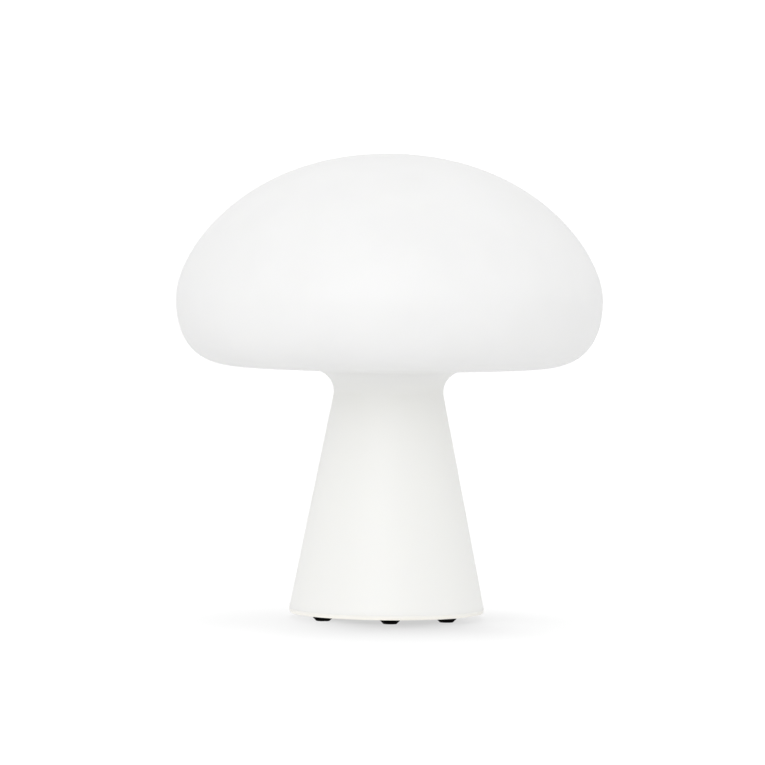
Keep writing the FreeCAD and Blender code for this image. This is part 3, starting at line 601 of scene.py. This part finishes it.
mouldings = {
    "white_plastic": {"dark": (0.80, 0.80, 0.78, 1), "light": (0.86, 0.86, 0.84, 1), "rough": 0.55},
    "black_moulding": {"dark": (0.018, 0.018, 0.02, 1), "light": (0.03, 0.03, 0.034, 1), "rough": 0.5},
    "red_insulation": {"dark": (0.5, 0.02, 0.015, 1), "light": (0.6, 0.035, 0.03, 1), "rough": 0.35},
    "black_insulation": {"dark": (0.01, 0.01, 0.011, 1), "light": (0.02, 0.02, 0.022, 1), "rough": 0.35},
    "frosted_plastic": {"dark": (0.84, 0.84, 0.82, 1), "light": (0.9, 0.9, 0.88, 1), "rough": 0.6,
                        "constants": softLight(0.3, 0.002)},
    "clear_plastic": {"dark": (0.86, 0.9, 0.92, 1), "light": (0.92, 0.95, 0.96, 1), "rough": 0.2,
                      "constants": {"Transmission Weight": 0.7}},
    "grey_rubber": {"dark": (0.18, 0.18, 0.19, 1), "light": (0.25, 0.25, 0.26, 1), "rough": 0.75,
                    "depth": 0.00004},
    "clear_silicone": {"dark": (0.93, 0.915, 0.86, 1), "light": (0.96, 0.945, 0.9, 1), "rough": 0.35,
                       "constants": softLight(0.08, 0.0004)},
}


# the base's cream plastic: polished on the rim that shows, spark-eroded beneath and inside
cream = {
    "dark": (0.94, 0.915, 0.84, 1), "light": (0.96, 0.94, 0.875, 1),
    "polished": 0.3, "eroded": 0.55, "spread": 0.1, "flowScale": 45.0,
    "grainScale": 1500.0, "depth": 0.00005, "polishedShare": 0.08,
    "rimWidth": 0.0012, "rimFade": 0.0006,
    "constants": softLight(0.1, 0.001),
}


def creamPlastic():
    s = newShader("creamPlastic")
    x, y = s.axes()[:2]
    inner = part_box("base_plate")[1].x - cream["rimWidth"]
    rim = s.step(s.radius(x, y), inner - cream["rimFade"], inner)
    flow, grain = s.noise(cream["flowScale"]), s.grain(cream)
    rough = cream["eroded"] - rim * (cream["eroded"] - cream["polished"])
    height = grain * (1 - rim * (1 - cream["polishedShare"]))
    return s.finish(cream, s.tone(flow, cream), s.varied(rough, (flow, cream["spread"])), height)


# the feet's rubber: matt black, scuffed grey in patches where it meets the table
rubber = {
    "dark": grey(0.0008), "light": grey(0.002), "mottleScale": 300.0,
    "scuffed": (0.012, 0.012, 0.011, 1), "scuffHeight": 0.00035,
    "patchScale": 900.0, "patchRange": (0.45, 0.6),
    "grainScale": 2400.0, "depth": 0.00004,
    "rough": 0.78, "spread": 0.1, "constants": {"Specular IOR Level": 0.015},
}


def blackRubber():
    s = newShader("blackRubber")
    z = s.axes()[2]
    grain = s.grain(rubber)
    patches = s.step(s.noise(rubber["patchScale"], detail=3.0), *rubber["patchRange"])
    scuff = s.step(z, rubber["scuffHeight"], 0.0) * patches
    mottled = s.tone(s.noise(rubber["mottleScale"]), rubber)
    rough = s.varied(rubber["rough"], (grain, rubber["spread"]))
    return s.finish(rubber, s.mix(scuff, mottled, rubber["scuffed"]), rough, grain)


# turned metal: fine rings about the lamp's axis, broken up by slow stains
turned = {"upright": 0.3, "markGloss": 0.2, "stainScale": 60.0, "stainGloss": 0.1}


def turnedMetal(name, look):
    s, look = newShader(name), turned | look
    x, y, z = s.axes()
    rings = s.node("CombineXYZ", inputs={0: s.radius(x, y) * look["ringScale"],
                                         1: z * look["ringScale"] * look["upright"]})
    marks = s.node("TexNoise", {"noise_dimensions": "2D"}, {"Vector": rings, "Scale": 1.0, "Detail": 3.0})
    stain = s.noise(look["stainScale"], detail=3.0)
    rough = s.varied(look["rough"], (marks, look["markGloss"]), (stain, look["stainGloss"]))
    return s.finish(look, s.tone(stain, look), rough, marks, metallic=1.0)


turnings = {
    "plated_steel": {"dark": (0.52, 0.52, 0.5, 1), "light": (0.64, 0.63, 0.6, 1), "rough": 0.36,
                     "ringScale": 2500.0, "depth": 0.00001},
    "cast_aluminium": {"dark": (0.62, 0.63, 0.64, 1), "light": (0.74, 0.75, 0.76, 1), "rough": 0.45,
                       "ringScale": 1600.0, "depth": 0.000015},
}


# small plated or soldered pieces: a bright skin with faint blotches and fine scratches one way
plated = {"grainWay": (1.0, 1.0, 1.0), "scratchGloss": 0.16, "blotchScale": 400.0, "blotchGloss": 0.12}


def platedMetal(name, look):
    s, look = newShader(name), plated | look
    scratch = s.noise(look["grainScale"], way=look["grainWay"])
    blotch = s.noise(look["blotchScale"], detail=3.0)
    rough = s.varied(look["rough"], (scratch, look["scratchGloss"]), (blotch, look["blotchGloss"]))
    return s.finish(look, s.tone(blotch, look), rough, scratch, metallic=1.0)


platings = {
    "nickel": {"dark": (0.6, 0.57, 0.52, 1), "light": (0.7, 0.67, 0.62, 1), "rough": 0.28,
               "grainWay": (1.0, 6.0, 6.0), "grainScale": 500.0, "depth": 0.000003},
    "screwZinc": {"dark": (0.5, 0.52, 0.53, 1), "light": (0.66, 0.67, 0.66, 1), "rough": 0.32,
                  "grainScale": 1500.0, "depth": 0.000006},
    "solder": {"dark": (0.5, 0.5, 0.49, 1), "light": (0.72, 0.72, 0.7, 1), "rough": 0.25,
               "grainScale": 1200.0, "depth": 0.00001},
    "copperWire": {"dark": (0.55, 0.2, 0.07, 1), "light": (0.75, 0.32, 0.12, 1), "rough": 0.3,
                   "grainScale": 1500.0, "depth": 0.000003},
}


# shrink film on the cells: a glossy sleeve rolled over the ends, with bare metal and a paper ring inside
film = {
    "dark": (0.07, 0.24, 0.37, 1), "light": (0.11, 0.31, 0.46, 1), "tintScale": 50.0,
    "metal": (0.66, 0.65, 0.62, 1), "paper": (0.75, 0.73, 0.68, 1),
    "turnover": 0.0015, "contact": 0.0034, "fade": 0.0001,
    "below": 0.0003,  # the bare bottom lies this far above the cell's lowest point, or lower
    "above": 0.0012,  # the bare top lies this far under its highest point, or higher
    "wrinkleScale": 220.0, "wrinkleWay": (1.0, 1.0, 0.25), "depth": 0.00004,
    "rough": 0.22, "spread": 0.1, "paperMatt": 0.5, "metalMatt": 0.08,
}


def cellWrap():
    s = newShader("cellWrap")
    x, y, z = s.axes()
    low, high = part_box("battery_cell_2")
    middle, size = (low.x + high.x) / 2, (high.x - low.x) / 2
    fade, bottomEdge, topEdge = film["fade"], low.z + film["below"], high.z - film["above"]
    across = s.radius(abs(x) - middle, y)
    bottom, top = s.step(z, bottomEdge + fade, bottomEdge), s.step(z, topEdge - fade, topEdge)
    bare = s.either(bottom, top) * s.step(across, size - film["turnover"], size - film["turnover"] - fade)
    paper = bare * top * s.step(across, film["contact"], film["contact"] + fade)
    wrinkle = s.noise(film["wrinkleScale"], way=film["wrinkleWay"])
    sleeve = s.tone(s.noise(film["tintScale"]), film)
    rough = film["rough"] + paper * film["paperMatt"] + bare * film["metalMatt"]
    return s.finish(film, s.mix(paper, s.mix(bare, sleeve, film["metal"]), film["paper"]),
                    s.varied(rough, (wrinkle, film["spread"])), wrinkle * (1 - bare), bare * (1 - paper))


# light chips: a white housing round a window of yellow phosphor. They stand in rings, so the angle is folded
# to one chip's share, and the window is the rounded square (u / wide)^4 + (v / long)^4 < 1 about its middle.
chips = {
    "rings": ((6, 0.0039), (12, 0.0086)),  # how many chips, and how far out they stand
    "between": 0.0062, "gap": 0.00018, "wide": 0.00085, "long": 0.00112, "housing": grey(0.86),
    "dark": (0.86, 0.56, 0.06, 1), "light": (0.93, 0.66, 0.12, 1), "grainScale": 3000.0,
    "rough": 0.5, "windowGloss": 0.28, "grainRelief": 0.1, "depth": 0.00008,
}
skin = 0.00005  # m; a face is what lies this near to the end of its piece


# across and along a chip of one ring, from its middle
def chipPlace(s, x, y, count, place):
    folded = s.maths("ARCTAN2", x, -1.0 * y) % (2 * pi / count) - pi / count
    radius = s.radius(x, y)
    return radius * s.maths("SINE", folded), radius * s.maths("COSINE", folded) - place


# the light board's copper fills a ring for each ring of chips, parted under the middle of every chip
def chipCopper(s, x, y):
    radius = s.radius(x, y)
    parted = abs(radius - chips["between"]) < chips["gap"]
    for count, place in chips["rings"]:
        across, along = chipPlace(s, x, y, count, place)
        inside = place < chips["between"]
        ring = radius < chips["between"] if inside else radius > chips["between"]
        parted = s.either(parted, ring * (abs(across) < chips["gap"]) * (along > -place))
    return 1 - parted


# The control board's tracks. Each square cell holds, by lot, a few level, upright or slanting runs, or plain
# copper; all runs cross its edges at the same places, so they join from cell to cell.
tracks = {"cell": 0.0023, "runs": 3.0, "width": 0.17, "lots": (0.3, 0.6, 0.76, 0.92)}


def routedCopper(s, x, y):
    u, v = x / tracks["cell"], y / tracks["cell"]
    cell = s.node("CombineXYZ", inputs={0: s.maths("FLOOR", u), 1: s.maths("FLOOR", v)})
    lot = s.node("TexWhiteNoise", {"noise_dimensions": "2D"}, {"Vector": cell})
    copper, start = lot > tracks["lots"][-1], 0.0
    for across, end in zip((v, u, u + v, u - v), tracks["lots"]):
        line = abs((across * tracks["runs"]) % 1.0 - 0.5) < tracks["width"]
        copper = s.either(copper, line * (lot > start) * (lot < end))
        start = end
    return copper


# a printed board: solder mask over copper, bare edges, vias, gold round the screws and under the wires, and
# thin printed frames round the big parts
boards = {
    "green_laminate": {
        "dark": (0.008, 0.11, 0.045, 1), "light": (0.012, 0.14, 0.06, 1), "track": (0.02, 0.2, 0.09, 1),
        "edge": (0.32, 0.3, 0.14, 1), "print": (0.85, 0.86, 0.82, 1), "copper": routedCopper,
        "node": "control_board", "screws": "board_screws", "wires": wires,
        "framed": ("inductor", "board_chips"),
    },
    "white_laminate": {
        "dark": (0.82, 0.83, 0.82, 1), "light": (0.87, 0.88, 0.87, 1), "track": (0.76, 0.77, 0.74, 1),
        "edge": (0.6, 0.6, 0.58, 1), "print": (0.1, 0.1, 0.1, 1), "copper": chipCopper,
        "node": "led_board", "screws": "led_board_screws", "wires": wires[2:], "framed": (),
    },
}
gold = (0.83, 0.6, 0.24, 1.0)
laminate = {
    "weaveScale": 1400.0, "viaScale": 260.0, "viaRange": (0.07, 0.06),
    "screwRing": 0.0005, "wireRing": 0.0006, "ringFade": 0.0001,  # how far gold reaches past head and wire
    "tail": 0.7,  # of a wire's half width, from its end to the middle of its pad
    "frameGap": 0.0004, "frameLine": 0.00018,
    "rough": 0.32, "weaveGloss": 0.1, "edgeMatt": 0.3,
    "trackRelief": 0.4, "goldRelief": 0.5, "weaveRelief": 0.1, "depth": 0.00003,
}


def circuitBoard(name, look):
    s = newShader(name)
    x, y, z = s.axes()
    low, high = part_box(look["node"])
    track = look["copper"](s, x, y)
    weave = s.noise(laminate["weaveScale"], detail=1.0)
    colour = s.mix(track, s.tone(weave, look), look["track"])
    vias = s.node("TexVoronoi", inputs={"Vector": s.place(), "Scale": laminate["viaScale"]})
    metal = s.step(vias, *laminate["viaRange"])
    for centre, reach in screwPads(look["screws"]) + wirePads(look["wires"], high.z):
        away = s.radius(x - centre[0], y - centre[1])
        metal = s.either(metal, s.step(away, reach, reach - laminate["ringFade"]))
    frames = 0.0
    for framed in look["framed"]:
        for solid in solidsOf(framed):
            frames = s.either(frames, boxFrame(s, x, y, solid.min(0).tolist(), solid.max(0).tolist()))
    face = s.either(s.step(z, high.z - 2 * skin, high.z - skin), s.step(z, low.z + 2 * skin, low.z + skin))
    colour = s.mix(frames, s.mix(metal, colour, gold), look["print"])
    rough = s.varied(laminate["rough"], (weave, laminate["weaveGloss"]))
    rough = rough + (1 - face) * laminate["edgeMatt"]
    relief = (track * laminate["trackRelief"] + metal * laminate["goldRelief"]
              + weave * laminate["weaveRelief"])
    return s.finish(laminate, s.mix(face, look["edge"], colour), rough, relief, metal * face)


# where each screw of a group goes through the board, and how far its gold ring reaches
def screwPads(node):
    return [(place[:2].tolist(), float(head) + laminate["screwRing"])
            for place, _, head, *_ in screwPlaces(node)]


# a pad where a wire ends on the board's top: under the wire's upright end or under its level one
def wirePads(nodes, boardTop):
    pads = []
    for node in nodes:
        upright, level, size = wireEnds(node)
        onTop = upright.z > boardTop - near
        centre = (upright.x, upright.y) if onTop else (level.x, level.y - laminate["tail"] * size)
        pads.append((centre, size + laminate["wireRing"]))
    return pads


# a thin printed line round a box, whose low and high corners are given
def boxFrame(s, x, y, low, high):
    gap = laminate["frameGap"]
    beyond = s.either(abs(x - (low[0] + high[0]) / 2) - (high[0] - low[0]) / 2,
                      abs(y - (low[1] + high[1]) / 2) - (high[1] - low[1]) / 2)
    return (beyond > gap) * (beyond < gap + laminate["frameLine"])


# black chip housings, with a round dimple at one corner and tinned pads low on their sides
tinned = (0.7, 0.7, 0.68, 1)
housing = {
    "dark": (0.016, 0.016, 0.017, 1), "light": (0.03, 0.03, 0.032, 1), "grainScale": 2600.0,
    "corner": 0.0008, "dimple": 0.0003, "pitch": 0.0005, "pad": 0.25, "padTop": 0.0002,
    "rough": 0.55, "gloss": 0.25, "grainRelief": 0.2, "depth": 0.00005,
}


def chipHousing():
    s = newShader("chipHousing")
    x, y, z = s.axes()
    low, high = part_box("board_chips")
    grain = s.grain(housing)
    corner = housing["corner"]
    dimple = s.radius(x - (high.x - corner), y - (high.y - corner)) < housing["dimple"]
    pads = (abs((x / housing["pitch"]) % 1.0 - 0.5) < housing["pad"]) * (z < low.z + housing["padTop"])
    colour = s.mix(pads, s.tone(grain, housing), tinned)
    rough = housing["rough"] - pads * housing["gloss"] - dimple * housing["gloss"]
    relief = grain * housing["grainRelief"] - dimple
    return s.finish(housing, colour, rough, relief, pads)


# chip capacitors: a tan ceramic middle with tinned ends
ceramic = {
    "dark": (0.42, 0.29, 0.17, 1), "light": (0.52, 0.38, 0.25, 1), "grainScale": 2000.0,
    "end": 0.00055, "fade": 0.00005, "rough": 0.42, "endGloss": 0.1, "depth": 0.00001,
}


def ceramicParts():
    s = newShader("tanCeramic")
    x = s.axes()[0]
    low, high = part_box("capacitors")
    edge = (high.x - low.x) / 2 - ceramic["end"]
    ends = s.step(abs(x - (low.x + high.x) / 2), edge - ceramic["fade"], edge)
    grain = s.grain(ceramic)
    rough = ceramic["rough"] - ends * ceramic["endGloss"]
    return s.finish(ceramic, s.mix(ends, s.tone(grain, ceramic), tinned), rough, grain, ends)


# a white housing whose window lies a little lower and shines more
def windowed(s, window, grain, inside, gloss):
    return s.finish(chips, s.mix(window, chips["housing"], inside), chips["rough"] - window * gloss,
                    grain * chips["grainRelief"] - window)


def lightChips():
    s = newShader("lightChips")
    x, y, z = s.axes()
    window = 0.0
    for count, place in chips["rings"]:
        across, along = chipPlace(s, x, y, count, place)
        window = s.either(window, (across / chips["wide"]) ** 4.0 + (along / chips["long"]) ** 4.0 < 1.0)
    window = window * (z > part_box("led_chips")[1].z - skin)
    grain = s.grain(chips)
    return windowed(s, window, grain, s.tone(grain, chips), chips["windowGloss"])


# the charge light: a white housing with a pale green window that looks down
charge = {"window": 0.00058, "colour": (0.5, 0.8, 0.3, 1), "windowGloss": 0.3}


def chargeLight():
    s = newShader("chargeLight")
    x, y, z = s.axes()
    low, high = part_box("indicator_led")
    beyond = s.either(abs(x - (low.x + high.x) / 2), abs(y - (low.y + high.y) / 2))
    window = (beyond < charge["window"]) * (z < low.z + skin)
    return windowed(s, window, s.grain(chips), charge["colour"], charge["windowGloss"])


# the socket's tongue: black plastic with a row of gold contacts on both its faces
tongue = {
    "pitch": 0.0005, "contact": 0.26, "reach": 0.003, "bareTip": 0.0006, "plastic": (0.02, 0.02, 0.022, 1),
    "grainScale": 2400.0, "rough": 0.45, "contactGloss": 0.2, "spread": 0.1,
    "grainRelief": 0.1, "depth": 0.00002,
}


def socketTongue():
    s = newShader("socketTongue")
    x, y, z = s.axes()
    low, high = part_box("charging_socket_tongue")
    row = (abs((x / tongue["pitch"]) % 1.0 - 0.5) < tongue["contact"]) * (abs(x) < tongue["reach"])
    face = abs(y - (low.y + high.y) / 2) > (high.y - low.y) / 2 - skin
    contact = row * face * (z > low.z + tongue["bareTip"])
    grain = s.grain(tongue)
    rough = s.varied(tongue["rough"] - contact * tongue["contactGloss"], (grain, tongue["spread"]))
    relief = contact + grain * tongue["grainRelief"]
    return s.finish(tongue, s.mix(contact, tongue["plastic"], gold), rough, relief, contact)


# Screws, each turned about its own axis. Along it, from the head's end: the floor of a hexagonal socket,
# whose radius at angle a is flat / cos(a folded to 60 degrees), the rounded head, and a shank whose radius
# dips by thread times a trapezoid wave of along / pitch + a / 2 pi, wound as a right-handed thread is.
screws = {
    "socket": 0.44,  # of the head's radius, to a corner
    "socketDeep": 0.58,  # of the head's height
    "hub": 0.3,  # of the socket's and the shank's radius: an end face's inmost row
    "chamfer": 0.00012, "headRound": 0.00035, "pitch": 0.0008, "thread": 0.0003, "tip": 0.0005,
    "flank": 1.3, "lowered": 0.15,  # how a triangle wave is steepened and lowered before it is cut off
    "roundRows": 5, "rowsPerTurn": 6, "around": 36,
    "groups": ("clamp_screws", "chassis_screws", "board_screws", "column_screws", "heat_sink_screws",
               "led_board_screws"),
}


def screwSolid(start, way, head, shank, long, deep):
    angle = fullTurn(screws["around"])
    corner, floor = head * screws["socket"], deep * screws["socketDeep"]
    hexagon = corner * cos(pi / 6) / np.cos((angle + pi / 6) % (pi / 3) - pi / 6)
    even = np.ones_like(angle)
    chamfer, bend, hub = screws["chamfer"], screws["headRound"], screws["hub"]
    rows = [(floor, hub * hexagon), (floor, hexagon), (chamfer, hexagon), (0, hexagon + chamfer)]
    rows += [(bend - bend * sin(turn), (head - bend + bend * cos(turn)) * even)
             for turn in np.linspace(pi / 2, 0, screws["roundRows"])]
    rows += [(deep, head * even), (deep, shank * even)]
    turns = (long - deep - screws["tip"]) / screws["pitch"]
    for along in np.linspace(deep, long - screws["tip"], int(turns * screws["rowsPerTurn"]))[1:]:
        wave = np.abs(2 * ((along / screws["pitch"] + angle / (2 * pi)) % 1.0) - 1)
        dip = np.clip(screws["flank"] * wave - screws["lowered"], 0, 1)
        fade = np.clip((along - deep) / screws["pitch"], 0, 1)
        rows.append((along, shank - screws["thread"] * fade * dip))
    rows += [(long, (shank - screws["tip"]) * even), (long, hub * shank * even)]
    along = np.array([row[0] for row in rows])[:, None, None]
    radius = np.array([row[1] for row in rows])[:, :, None]
    upright = abs(way[2]) > 0.5
    first = np.array([1.0, 0.0, 0.0]) if upright else np.cross(way, (0.0, 0.0, 1.0))
    outward = np.cos(angle)[:, None] * first + np.sin(angle)[:, None] * np.cross(first, way)
    return start + along * way + radius * outward, [start + way * floor, start + way * long]


def makeScrews(material):
    for node in screws["groups"]:
        first, *others = node.split("_")
        name = first + "".join(word.capitalize() for word in others)
        piece = turnedPiece(name, [screwSolid(*place) for place in screwPlaces(node)], material)
        attach(piece, "lamp", "plated_steel", node)


# Solder round the wires' ends. Round an upright end it climbs as radius = hug wire + spread (1 - t)^flare,
# t from 0 at the pad to 1 at its top. A level end lies under a mound, height cos b over (wide, long) sin b.
solder = {
    "climb": 0.0011, "spread": 0.0009, "hug": 1.03, "flare": 2.5,
    "wide": 0.0012, "long": 0.0016, "above": 0.0003, "firstLean": 0.12,
    "tabInset": 0.0004, "tabMound": (0.0006, 0.0008, 0.0014),  # over the socket's tabs: height, wide, long
    "rows": 10, "around": 24,
}


# one joint from its rows' half widths, half lengths and rises; it hangs where its height is negative
def solderJoint(place, wide, long, rise, height):
    grid = turnedGrid(wide[:, None], long[:, None], rise[:, None], fullTurn(solder["around"]))
    if height < 0:
        grid = grid[:, ::-1]
    return grid + np.array(place), [np.array(place) + (0, 0, height), np.array(place)]


def solderCone(place, wire):
    t = np.linspace(1, 0, solder["rows"])
    radius = wire * solder["hug"] + solder["spread"] * (1 - t) ** solder["flare"]
    return solderJoint(place, radius, radius, solder["climb"] * t, solder["climb"])


def solderMound(place, height, wide, long):
    lean = np.linspace(solder["firstLean"], pi / 2, solder["rows"])
    return solderJoint(place, wide * np.sin(lean), long * np.sin(lean), height * np.cos(lean), height)


def makeSolder(material):
    joints = []
    for wire in wires:
        upright, level, size = wireEnds(wire)
        joints.append(solderCone(upright, size))
        height = 2 * size + solder["above"]
        if wire.startswith("led"):
            level.z -= 2 * size  # the light's leads lie on their pads
        else:
            height = -height  # the battery's leads hang under their strips
        joints.append(solderMound(level, height, solder["wide"], solder["long"]))
    low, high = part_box("charging_socket_shell")
    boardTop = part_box("control_board")[1].z
    for x in (low.x + solder["tabInset"], high.x - solder["tabInset"]):
        joints.append(solderMound((x, (low.y + high.y) / 2, boardTop), *solder["tabMound"]))
    attach(turnedPiece("solderJoints", joints, material), "lamp", "nickel")


# sprung tin legs: a strip leaves the side of its housing level, and comes down in an S to the board
legs = {
    "width": 0.00042, "thickness": 0.00016, "pitch": 0.00127, "reach": 0.0011,
    "leave": 0.5,  # of the housing's height, where a leg leaves its side
    "bends": (0.55, 0.3),  # of the reach, how far out the S's two handles lie
    "charger": (0.004, 0.006),  # width and depth of the chip at the far corner of the two
    "count": 4, "rows": 10,
    "tabThickness": 0.0002, "tabRows": 4,
    "coilTab": 0.0022, "coilTop": 0.0022,  # width, and height above the board
    "switchLeg": 0.0009, "switchPlaces": (-0.0022, 0.0022), "switchFrom": 0.0012,
}


def chipLegs():
    low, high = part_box("board_chips")
    width, depth = legs["charger"]
    middle = np.array([high.x - width / 2, high.y - depth / 2, low.z])
    rise, reach, lie = (high.z - low.z) * legs["leave"], legs["reach"], legs["thickness"] / 2
    first, second = legs["bends"]
    out, up = bezier((0, rise), (first * reach, rise), (second * reach, lie), (reach, lie), legs["rows"]).T
    section = rectangle(legs["width"], legs["thickness"])
    runs = []
    for side in (-1, 1):
        for place in (np.arange(legs["count"]) - (legs["count"] - 1) / 2) * legs["pitch"]:
            path = middle + np.stack([side * (width / 2 + out), np.full(len(out), place), up], 1)
            runs.append((path, (0.0, 1.0, 0.0), section))
    return runs


# the inductor's two terminals come down its sides, and the switch's four reach up through the board
def sideTabs(node, width, places, low, high):
    start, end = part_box(node)
    thickness = legs["tabThickness"]
    runs = []
    for x in (start.x - thickness / 2, end.x + thickness / 2):
        for place in places:
            middle = (start.y + end.y) / 2 + place
            path = np.linspace((x, middle, low), (x, middle, high), legs["tabRows"])
            runs.append((path, (0.0, 1.0, 0.0), rectangle(width, thickness)))
    return runs


def makeLegs(material):
    under, top = (corner.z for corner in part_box("control_board"))
    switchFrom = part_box("switch_body")[0].z + legs["switchFrom"]
    runs = chipLegs() + sideTabs("inductor", legs["coilTab"], (0.0,), top, top + legs["coilTop"])
    runs += sideTabs("switch_body", legs["switchLeg"], legs["switchPlaces"], switchFrom, under)
    attach(sweptPiece("tinnedLegs", runs, material), "lamp", "nickel")


# the inductor's wire, wound flat in its well: radius = first + pitch times the turns, one unbroken tube
winding = {
    "first": 0.00045, "pitch": 0.00021, "turns": 5, "wire": 0.00009, "deep": 0.0006,
    "around": 28, "corners": 8,
}


def makeWinding(material):
    low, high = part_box("inductor")
    turn = np.linspace(0, winding["turns"], winding["turns"] * winding["around"] + 1)
    radius = winding["first"] + winding["pitch"] * turn
    height = high.z - winding["deep"] + winding["wire"]
    path = np.stack([(low.x + high.x) / 2 + radius * np.cos(2 * pi * turn),
                     (low.y + high.y) / 2 + radius * np.sin(2 * pi * turn), np.full(len(turn), height)], 1)
    section = arcPoints((0, 0), winding["wire"], 0, 2 * pi, winding["corners"] + 1)[:-1]
    attach(sweptPiece("inductorWinding", [(path, (0.0, 0.0, 1.0), section)], material), "lamp", "nickel")


# what each carried-over node wears in place of its slot's own finish
wears = {
    "base_plate": "cream_plastic", "power_button": "cream_plastic", "board_chips": "chipHousing",
    "led_chips": "lightChips", "indicator_led": "chargeLight", "charging_socket_tongue": "socketTongue",
    "switch_plunger": "red_insulation",
}


def dressNodes(finishes):
    slots = {part["node"]: part["material_slot"] for part in frame["record"]["subparts"]}
    for name, piece in frame["nodes"].items():
        finish = finishes.get(wears.get(name, slots[name]))
        if finish:
            piece.data.materials.clear()
            piece.data.materials.append(finish)


def makeFinishes():
    kinds = (moulded, mouldings), (turnedMetal, turnings), (platedMetal, platings), (circuitBoard, boards)
    made = {name: make(name, look) for make, looks in kinds for name, look in looks.items()}
    return made | {
        "opal_glass": opalGlass(), "cream_plastic": creamPlastic(), "black_rubber": blackRubber(),
        "cell_wrap": cellWrap(), "chipHousing": chipHousing(), "tan_ceramic": ceramicParts(),
        "lightChips": lightChips(), "chargeLight": chargeLight(), "socketTongue": socketTongue()}


finishes = makeFinishes()
dressNodes(finishes)
print("nodes dressed")
makeGlass(finishes["opal_glass"])
print("glass made")
makeGasket(finishes["clear_silicone"])
makeScrews(finishes["screwZinc"])
makeSolder(finishes["solder"])
makeLegs(finishes["solder"])
makeWinding(finishes["copperWire"])
print("small pieces made")
